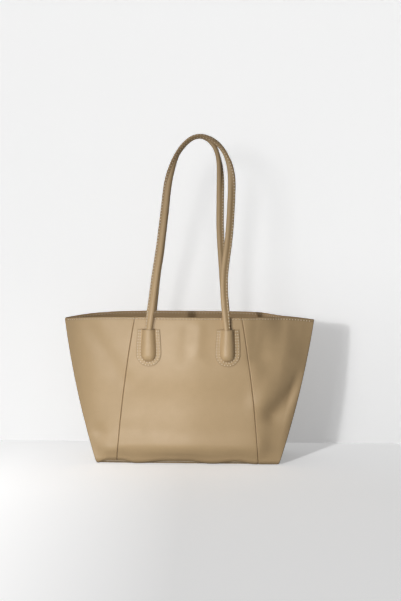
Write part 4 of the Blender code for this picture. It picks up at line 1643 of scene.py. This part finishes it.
# Routes seen from the front, as shares of half the tab spacing and of the handle's rise
FRONT_ROUTE = (
    (-0.980, 0.000), (-0.895, 0.130), (-0.810, 0.270), (-0.730, 0.380), (-0.658, 0.500),
    (-0.593, 0.620), (-0.548, 0.710), (-0.487, 0.785), (-0.392, 0.865), (-0.295, 0.915),
    (-0.130, 0.960), (0.060, 0.990), (0.280, 1.000), (0.520, 0.987), (0.740, 0.955),
    (0.895, 0.912), (0.990, 0.860), (1.035, 0.800), (1.045, 0.730), (1.030, 0.640),
    (1.005, 0.540), (0.970, 0.456), (0.920, 0.374), (0.875, 0.290), (0.870, 0.210),
    (0.895, 0.125), (0.967, 0.000),
)
BACK_ROUTE = (
    (-0.980, 0.000), (-0.918, 0.130), (-0.840, 0.270), (-0.755, 0.380), (-0.683, 0.500),
    (-0.613, 0.620), (-0.568, 0.710), (-0.507, 0.785), (-0.402, 0.865), (-0.300, 0.915),
    (-0.130, 0.960), (0.060, 0.990), (0.260, 1.000), (0.460, 0.985), (0.610, 0.953),
    (0.700, 0.912), (0.745, 0.860), (0.755, 0.800), (0.755, 0.730), (0.755, 0.640),
    (0.755, 0.540), (0.772, 0.456), (0.798, 0.374), (0.828, 0.290), (0.856, 0.210),
    (0.895, 0.125), (0.967, 0.000),
)


def smooth_path(points: Array, per_span: int) -> Array:
    """A smooth curve through the points.

    Args:
        points: one row for each point.
        per_span: samples between two neighbours.

    Returns:
        The samples, with the last point.
    """
    ends = np.concatenate((points[:1], points, points[-1:]))
    share = (np.arange(per_span) / per_span)[:, None]
    pieces = []
    for before, start, end, after in zip(ends, ends[1:], ends[2:], ends[3:]):
        pull, leave = (end - before) / 2, (after - start) / 2
        cubed, squared = share ** 3, share ** 2
        pieces.append(start * (2 * cubed - 3 * squared + 1)
                      + pull * (cubed - 2 * squared + share)
                      + end * (3 * squared - 2 * cubed) + leave * (cubed - squared))
    return np.concatenate((*pieces, points[-1:]))


def even_path(points: Array, count: int) -> tuple[Array, Array]:
    """Points at equal distances along a path, and those distances."""
    travelled = path_lengths(points)
    wanted = np.linspace(0, travelled[-1], count)
    return sampled(points, travelled, wanted), wanted


@dataclass
class Handle:
    """A long handle: leather rolled round a cord, its edges sewn into a flange."""

    finishes: Finishes
    tabs: HandleTabs
    side: Side
    tube_width: float = 0.009
    tube_thickness: float = 0.008
    flange_width: float = 0.004
    flange_thickness: float = 0.0032
    core: float = 0.0054
    rise: float = 0.3238
    standoff: float = 0.0008
    tuck: float = 0.044
    taper: float = 0.012
    pared: float = 0.6
    narrowed: float = 0.5
    lean_power: float = 1.25
    twist_start: float = 0.68
    twist_end: float = 0.98
    bend_length: float = 0.030
    rings: int = 420
    # Painted shade: how much darker the flange is painted.
    flange_shade: float = 0.8
    flange_fade: float = 0.0008
    end_points: int = 10  # on the stretch inside each tab
    end_gap: float = 0.004
    span_steps: int = 24
    core_sides: int = 18
    blend_below: float = 0.001
    sewn_into: float = 0.004  # how far the stitches go on below the mouths
    stitch_place: float = 0.55  # share of the flange's width
    stitching: Stitching = Stitching(0.0052, 0.0025, 0.0016)

    def __post_init__(self) -> None:
        """Works out the middle line of the handle and the frame of its section."""
        form, tabs = self.tabs.form, self.tabs
        shares = np.array(FRONT_ROUTE if self.side is Side.FRONT else BACK_ROUTE)
        span = tabs.spacing / 2
        stand = self.tube_thickness / 2 + form.clearance
        start_y = float(form.over(span, tabs.mouth, stand + self.standoff, self.side)[1])
        top_y = -(self.tube_width + form.clearance) / 2
        y = mix(start_y, top_y, shares[:, 1] ** self.lean_power)
        x = self.side.value * shares[:, 0] * span
        loop = np.stack((x, y, tabs.mouth + shares[:, 1] * self.rise), -1)
        if self.side is Side.BACK:
            loop = loop[::-1]
        ends = []
        for foot in (loop[0, 0], loop[-1, 0]):
            drop = np.linspace(self.tuck, self.end_gap, self.end_points)
            out = stand + self.standoff * (1 - drop / self.tuck)
            across = np.full(self.end_points, foot)
            ends.append(form.over(across, tabs.mouth - drop, out, self.side))
        rough = np.concatenate((ends[0], loop, ends[1][::-1]))
        smooth = smooth_path(rough, self.span_steps)
        self.line, self.travelled = even_path(smooth, self.rings)
        ahead = unit(np.gradient(self.line, axis=0))
        viewer = np.array((0.0, -1.0, 0.0))
        face = unit(viewer - ahead * (ahead @ viewer)[:, None])
        outer = np.cross(face, ahead)
        climbed = (self.line[:, 2] - tabs.mouth) / self.rise
        twist = QUARTER_TURN * ease(
            (climbed - self.twist_start) / (self.twist_end - self.twist_start)
        )
        cosine, sine = np.cos(twist)[:, None], np.sin(twist)[:, None]
        self.outer = outer * cosine + face * sine
        self.face = face * cosine - outer * sine

    def profile(self) -> Array:
        """The handle's section: tube, flange and the line between the flange's two layers.

        Returns:
            Closed points in the direction of the flange and in that of the face.
        """
        half_width, half_thick = self.tube_width / 2, self.tube_thickness / 2
        leaf = self.flange_thickness / 2
        tip = half_width + self.flange_width
        angle = np.linspace(math.radians(34), math.pi, 14)
        tube = np.stack((half_width * np.cos(angle), half_thick * np.sin(angle)), -1)
        flange = np.array((
            (tip - 0.0004, 0.00015), (tip, 0.0004), (tip, leaf - 0.0005),
            (tip - 0.0006, leaf), (half_width + 0.0012, leaf), (half_width + 0.0002, leaf + 0.0002),
        ))
        upper = np.concatenate((flange, tube[:-1]))
        lower = upper[::-1] * np.array((1, -1))
        return np.concatenate((upper, tube[-1:], lower))

    def size_at(self, z: Array) -> Array:
        """How thick the handle is: pared thinner at its ends."""
        return mix(self.pared, 1, ease((z - (self.tabs.mouth - self.tuck)) / self.taper))

    def flange_share(self, z: Array) -> Array:
        """How much of the flange's width is left: it narrows towards the tabs."""
        return mix(self.narrowed, 1, ease((z - self.tabs.mouth) / self.bend_length))

    def build(self) -> list[bpy.types.Object]:
        """Builds and dresses cover, cord and thread, and returns them."""
        word = self.side.word
        ends = [f"{word}_{hand}_handle_end" for hand in ("left", "right")]
        cover = self.tube(f"{word}_handle_leather", self.profile())
        self.mark_flange(cover)
        self.dress(cover, self.finishes.leather, "smooth_leather",
                   [f"{word}_handle_cover", *ends])
        turns = np.linspace(math.pi, -math.pi, self.core_sides + 1)[:-1]
        ring = np.stack((np.cos(turns), np.sin(turns)), -1) * self.core / 2
        cord = self.tube(f"{word}_handle_core", ring)
        self.dress(cord, self.finishes.cord, "handle_cord", [f"{word}_handle_cord"])
        thread = self.stitches()
        self.dress(thread, self.finishes.thread, "handle_cord", [])
        return [cover, cord, thread]

    def dress(self, piece: bpy.types.Object, finish: bpy.types.Material, slot: str,
              replaced: Sequence[str]) -> None:
        """Dresses a piece and bakes its place into its points, tied to no body."""
        fit_out(piece, finish, None, replaced)
        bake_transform(piece)

    def tube(self, name: str, ring: Array) -> bpy.types.Object:
        """Sweeps a closed section along the handle.

        Args:
            name: name of the piece.
            ring: points of the section, each once.

        Returns:
            The closed piece.
        """
        closed = np.concatenate((ring, ring[:1]))
        around = path_lengths(closed)

        def place(column: Array, row: Array) -> tuple[Array, Array]:
            """Lays the grid round the middle line."""
            c, r = column.astype(int), row.astype(int)
            size = self.size_at(self.line[r, 2])
            flange = np.clip(closed[c, 0] - self.tube_width / 2, 0, None)
            across = closed[c, 0] - flange * (1 - self.flange_share(self.line[r, 2]))
            across, out = (across * size)[:, None], (closed[c, 1] * size)[:, None]
            point = self.line[r] + self.outer[r] * across + self.face[r] * out
            return point, np.stack((around[c], self.travelled[r]), -1)

        return lay_grid(name, len(ring), self.rings - 1, place, self.side, weld=True, cap=True)

    def mark_flange(self, cover: bpy.types.Object) -> None:
        """Marks the flange, painted darker as painted shade, by its distance round the section."""
        mesh = cover.data
        flat, corner = np.empty(2 * len(mesh.loops)), np.empty(len(mesh.loops), int)
        mesh.uv_layers[0].data.foreach_get("uv", flat)
        mesh.loops.foreach_get("vertex_index", corner)
        around = np.zeros(len(mesh.vertices))
        around[corner] = flat[::2]
        from_tip = np.minimum(around, around.max() - around)
        past = (from_tip - self.flange_width - self.flange_fade) / self.flange_fade
        mark_edges(cover, self.flange_shade * (1 - ease(past)))

    def stitches(self) -> bpy.types.Object:
        """Sews the flange along the free part of the handle, on both of its faces."""
        free = np.flatnonzero(self.line[:, 2] > self.tabs.mouth - self.sewn_into)
        reach = self.flange_width * self.flange_share(self.line[:, 2:]) * self.stitch_place
        reach = reach + self.tube_width / 2
        leaf = self.flange_thickness / 2
        paths = []
        for hand in (1, -1):
            points = self.line + self.outer * reach + self.face * (hand * leaf)
            paths.append((points[free], self.face[free] * hand))
        return self.stitching.row(f"{self.side.word}_handle_stitches", paths, self.side)


# Magnetic snap


@dataclass
class MagneticSnap:
    """Two round halves of a snap inside the rim, each held by a plate behind the facing."""

    finishes: Finishes
    form: BagForm = FORM
    drop: float = 0.022
    steps: int = 64

    def seat(self, side: Side) -> Matrix:
        """Frame of a snap half: its origin on the facing, +Z into the bag."""
        form = self.form
        across = np.zeros(1)
        rise = form.rise_at(form.rim_height(across) - self.drop, across)
        inset = form.liner_inset + form.facing + form.clearance
        place = Vector(form.wall(across, rise, inset, side)[0])
        inwards = Vector(-form.normal(across, rise, side)[0])
        seat = Matrix.Translation(place) @ inwards.to_track_quat("Z", "X").to_matrix().to_4x4()
        return HALF_TURN @ seat if side is Side.BACK else seat

    def turned(self, name: str, outline: Sequence[tuple[float, float]], side: Side,
               replaced: str) -> None:
        """Spins an outline into a round piece on its seat.

        Args:
            name: name of the piece.
            outline: radius and height of each point, from axis to axis.
            side: front or back.
            replaced: the CAD node that it stands for.
        """
        shape = bmesh.new()
        verts = [shape.verts.new((radius, 0, height)) for radius, height in outline]
        edges = [shape.edges.new(pair) for pair in zip(verts, verts[1:])]
        bmesh.ops.spin(shape, geom=verts + edges, cent=(0, 0, 0), axis=(0, 0, 1),
                       angle=2 * math.pi, steps=self.steps, use_merge=True)
        bmesh.ops.remove_doubles(shape, verts=shape.verts, dist=WELD)
        bmesh.ops.recalc_face_normals(shape, faces=shape.faces)
        sharp = [e for e in shape.edges if e.is_manifold
                 and e.calc_face_angle(0.0) > math.radians(40)]
        bmesh.ops.bevel(shape, geom=sharp, offset=0.00022, segments=2, profile=0.5,
                        affect="EDGES", material=-1)
        shape.transform(self.seat(side))
        for face in shape.faces:
            face.smooth = True
        piece = add_piece(name, shape)
        piece.data.set_sharp_from_angle(angle=math.radians(40))
        fit_out(piece, self.finishes.brass, "bag", [replaced])

    def build(self) -> None:
        """Builds and dresses socket, stud and the two plates."""
        stem = -(self.form.facing + self.form.clearance)
        socket = (
            (0, 0.0012), (0.0026, 0.0012), (0.0028, 0.0014), (0.0028, 0.0032),
            (0.0032, 0.0036), (0.0062, 0.0036), (0.0066, 0.0033), (0.0074, 0.0033),
            (0.0084, 0.0031), (0.0090, 0.0022), (0.0090, 0.0), (0.0020, 0.0), (0.0020, stem),
            (0, stem),
        )
        self.turned("snap_socket_brass", socket, Side.FRONT, "snap_socket")
        stud = (
            (0, 0.0040), (0.0017, 0.0040), (0.0023, 0.0035), (0.0023, 0.0018),
            (0.0060, 0.0018), (0.0070, 0.0015), (0.0075, 0.0008), (0.0075, 0.0),
            (0.0020, 0.0), (0.0020, stem), (0, stem),
        )
        self.turned("snap_stud_brass", stud, Side.BACK, "snap_stud")
        high = stem - self.form.clearance
        plate = ((0, high), (0.006, high), (0.006, high - self.form.stay),
                 (0, high - self.form.stay))
        for side in Side:
            self.turned(f"{side.word}_snap_plate", plate, side, f"{side.word}_snap_washer")


# Room, lamps and camera


@dataclass
class Studio:
    """The pale floor and wall, the lamps and the camera."""

    straps: Sequence[bpy.types.Object]
    wall_y: float = 0.116
    reach: float = 4.0
    floor_tone: float = 0.88
    floor_glow: float = 0.28
    floor_left_glow: float = 0.34
    floor_bounce: float = 0.18
    wall_tone: float = 0.88
    wall_glow: float = 0.43
    left_glow: float = 0.14
    line_glow: float = 0.33  # of floor and wall where they meet
    line_reach: float = 0.35
    glow_left_x: float = -0.30  # where the glow at the left is full
    key_left_deg: float = 32.0
    key_up_deg: float = 10.0
    bag_key: float = 0.76
    wall_key: float = 0.74
    wall_soft_key: float = 0.55
    floor_key: float = 4.2
    key_spread_deg: float = 3.0
    soft_spread_deg: float = 16.0
    box_left_deg: float = 14.0
    box_up_deg: float = 18.0
    box_aim: float = 0.05  # height that it is turned to
    box_aim_y: float = -0.06
    box_distance: float = 0.46
    box_size: float = 0.26
    box_power: float = 1.10
    fill: float = 0.29
    fill_right: float = 0.15  # share of it that comes from the right
    room_tone: float = 0.92
    lens: float = 69.8
    camera_deg: float = 1.586
    camera_distance: float = 2.0
    camera_height: float = 0.473
    camera_pan_deg: float = -0.556
    camera_tilt_deg: float = 5.686
    camera_roll_deg: float = 0.308

    def build(self) -> None:
        """Builds the whole studio."""
        self.backdrop()
        self.lamps()
        self.camera()

    def plane(self, name: str, turn: Matrix, tone: float, bounce: float, glow: float,
              left_glow: float, one_sided: bool) -> bpy.types.Object:
        """Adds a pale plane that isn't part of the object.

        Args:
            name: name of the plane.
            turn: where the flat unit plane goes.
            tone: its grey as the camera sees it.
            bounce: its grey as the bag sees it.
            glow: light that the camera sees on it besides, away from where the planes meet.
            left_glow: how much more of it there is at the left.
            one_sided: shows only to the camera and only its face, and lets light through.

        Returns:
            The plane.
        """
        shape = bmesh.new()
        bmesh.ops.create_grid(shape, x_segments=1, y_segments=1, size=self.reach)
        shape.transform(turn)
        plane = add_piece(name, shape)
        material, board, shader = new_material(name)
        place = board.add("TexCoord").outputs["Object"]
        cloud = board.spread(board.noise(place, 1.3, 2.0), 0.3, 0.7)
        light, dark = (tone,) * 3, (tone * 0.985,) * 3
        colour = board.blend(cloud, rgba(light), rgba(dark))
        seen = board.add("LightPath").outputs["Is Camera Ray"]
        parts = board.add("SeparateXYZ", {"Vector": place})
        away = board.math("MAXIMUM", parts.outputs["Z"],
                          board.math("SUBTRACT", self.wall_y, parts.outputs["Y"]))
        near = board.spread(parts.outputs["X"], self.glow_left_x, 0.0,
                            self.line_glow + self.left_glow, self.line_glow)
        far = board.spread(parts.outputs["X"], self.glow_left_x, 0.0, glow + left_glow, glow)
        shine = board.spread(away, 0.0, self.line_reach, near, far)
        colour = board.blend(seen, rgba((bounce,) * 3), colour)
        board.fill(shader, {"Base Color": colour, "Roughness": 0.75, "Specular IOR Level": 0.15,
                            "Emission Color": WHITE,
                            "Emission Strength": board.math("MULTIPLY", seen, shine)})
        if one_sided:
            behind = board.add("NewGeometry").outputs["Backfacing"]
            shown = board.math("MULTIPLY", seen, board.math("SUBTRACT", 1.0, behind))
            clear = board.add("BsdfTransparent").outputs[0]
            both = board.add("MixShader", {0: shown, 1: clear, 2: shader.outputs[0]})
            end = material.node_tree.nodes["Material Output"]
            board.fill(end, {"Surface": both.outputs[0]})
        plane.data.materials.append(material)
        return plane

    def backdrop(self) -> None:
        """Adds the floor and the wall behind the bag."""
        self.floor = self.plane("floor", Matrix.Translation((0, 0, -0.0002)), self.floor_tone,
                                self.floor_bounce, self.floor_glow, self.floor_left_glow, False)
        upright = Matrix.Translation((0, self.wall_y, self.reach))
        upright = upright @ Matrix.Rotation(QUARTER_TURN, 4, "X")
        self.wall = self.plane("wall", upright, self.wall_tone, self.wall_tone, self.wall_glow,
                               0.0, True)

    @staticmethod
    def ray(left_deg: float, up_deg: float) -> Vector:
        """Direction in which light travels from the left and above."""
        a, e = math.radians(left_deg), math.radians(up_deg)
        return Vector((math.sin(a) * math.cos(e), math.cos(a) * math.cos(e), -math.sin(e)))

    @staticmethod
    def group(name: str, members: Sequence[bpy.types.Object],
              state: str) -> bpy.types.Collection:
        """A collection that a lamp takes in or leaves out."""
        made = bpy.data.collections.new(name)
        for one in members:
            made.objects.link(one)
        for one in made.collection_objects:
            one.light_linking.link_state = state
        return made

    def key(self, name: str, strength: float, spread_deg: float,
            lit: bpy.types.Collection, blockers: bpy.types.Collection | None) -> None:
        """Adds one share of the key light.

        Args:
            name: name of the lamp.
            strength: its strength.
            spread_deg: how large it looks.
            lit: what it lights.
            blockers: what casts its shadows, or None for everything.
        """
        data = bpy.data.lights.new(name, "SUN")
        data.energy = strength
        data.angle = math.radians(spread_deg)
        lamp = add_object(name, data)
        travel = self.ray(self.key_left_deg, self.key_up_deg)
        lamp.rotation_euler = travel.to_track_quat("-Z", "Y").to_euler()
        lamp.light_linking.receiver_collection = lit
        if blockers:
            lamp.light_linking.blocker_collection = blockers

    def lamps(self) -> None:
        """Adds the key light from the left, the soft box in front and the room's own light.

        The key's shares leave the same shadows as the photograph: sharp ones of the bag on
        floor and wall, and a faint one of the handles.
        """
        thin = self.group("thin_shadows", self.straps, "EXCLUDE")
        wall = self.group("wall_only", [self.wall], "INCLUDE")
        bag = self.group("bag_only", [self.wall, self.floor], "EXCLUDE")
        self.key("bag_key", self.bag_key, self.key_spread_deg, bag, None)
        self.key("floor_key", self.floor_key, self.key_spread_deg,
                 self.group("floor_only", [self.floor], "INCLUDE"), None)
        self.key("wall_key", self.wall_key, self.key_spread_deg, wall, thin)
        self.key("wall_soft_key", self.wall_soft_key, self.soft_spread_deg, wall, None)
        data = bpy.data.lights.new("soft_box", "AREA")
        data.size = self.box_size
        data.energy = self.box_power
        box = add_object("soft_box", data)
        travel = self.ray(self.box_left_deg, self.box_up_deg)
        box.location = Vector((0, self.box_aim_y, self.box_aim)) - travel * self.box_distance
        box.rotation_euler = travel.to_track_quat("-Z", "Y").to_euler()
        box.visible_camera = False
        box.light_linking.receiver_collection = bag
        world = bpy.data.worlds.new("room")
        bpy.context.scene.world = world
        world.use_nodes = True
        board = NodeBoard(world.node_tree)
        ground = world.node_tree.nodes["Background"]
        path = board.add("LightPath")
        seen = board.math("MAXIMUM", path.outputs["Is Camera Ray"],
                          path.outputs["Is Transmission Ray"])
        sideways = board.add("SeparateXYZ", {
            "Vector": board.add("TexCoord").outputs["Generated"],
        }).outputs["X"]
        dim = board.spread(sideways, -0.1, 0.9, self.fill, self.fill_right * self.fill)
        strength = board.math("MAXIMUM", board.math("MULTIPLY", seen, self.room_tone), dim)
        board.fill(ground, {"Strength": strength, "Color": WHITE})

    def camera(self) -> None:
        """Places the camera as the photograph's stood."""
        a = math.radians(self.camera_deg)
        yaw = a + math.radians(self.camera_pan_deg)
        tilt, roll = math.radians(self.camera_tilt_deg), math.radians(self.camera_roll_deg)
        ahead = Vector((-math.sin(yaw) * math.cos(tilt), math.cos(yaw) * math.cos(tilt),
                        -math.sin(tilt)))
        right = Vector((math.cos(yaw), math.sin(yaw), 0))
        up = right.cross(ahead)
        level_right = right * math.cos(roll) + up * math.sin(roll)
        level_up = up * math.cos(roll) - right * math.sin(roll)
        data = bpy.data.cameras.new("camera")
        data.lens = self.lens
        data.sensor_width = 36.0
        camera = add_object("camera", data)
        turn = Matrix((level_right, level_up, -ahead)).transposed().to_4x4()
        place = Vector((math.sin(a) * self.camera_distance,
                        -math.cos(a) * self.camera_distance, self.camera_height))
        camera.matrix_world = Matrix.Translation(place) @ turn
        bpy.context.scene.camera = camera


def dress_board(finishes: Finishes) -> None:
    """Gives the stiff base board, whose solid stays, its own finish."""
    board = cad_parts["base_board"]
    board.data.materials.clear()
    board.data.materials.append(finishes.board)


def main() -> None:
    """Builds every piece in order."""
    logging.basicConfig(level=logging.INFO)
    finishes = Finishes()
    LeatherShell(finishes).build()
    Lining(finishes).build()
    RimBand(finishes).build()
    tabs = HandleTabs(finishes)
    tabs.build()
    straps = [piece for side in Side for piece in Handle(finishes, tabs, side).build()]
    MagneticSnap(finishes).build()
    dress_board(finishes)
    Studio(straps).build()
    bpy.context.scene.view_settings.view_transform = "Standard"
    bpy.context.view_layer.update()


if __name__ == "__main__":
    main()
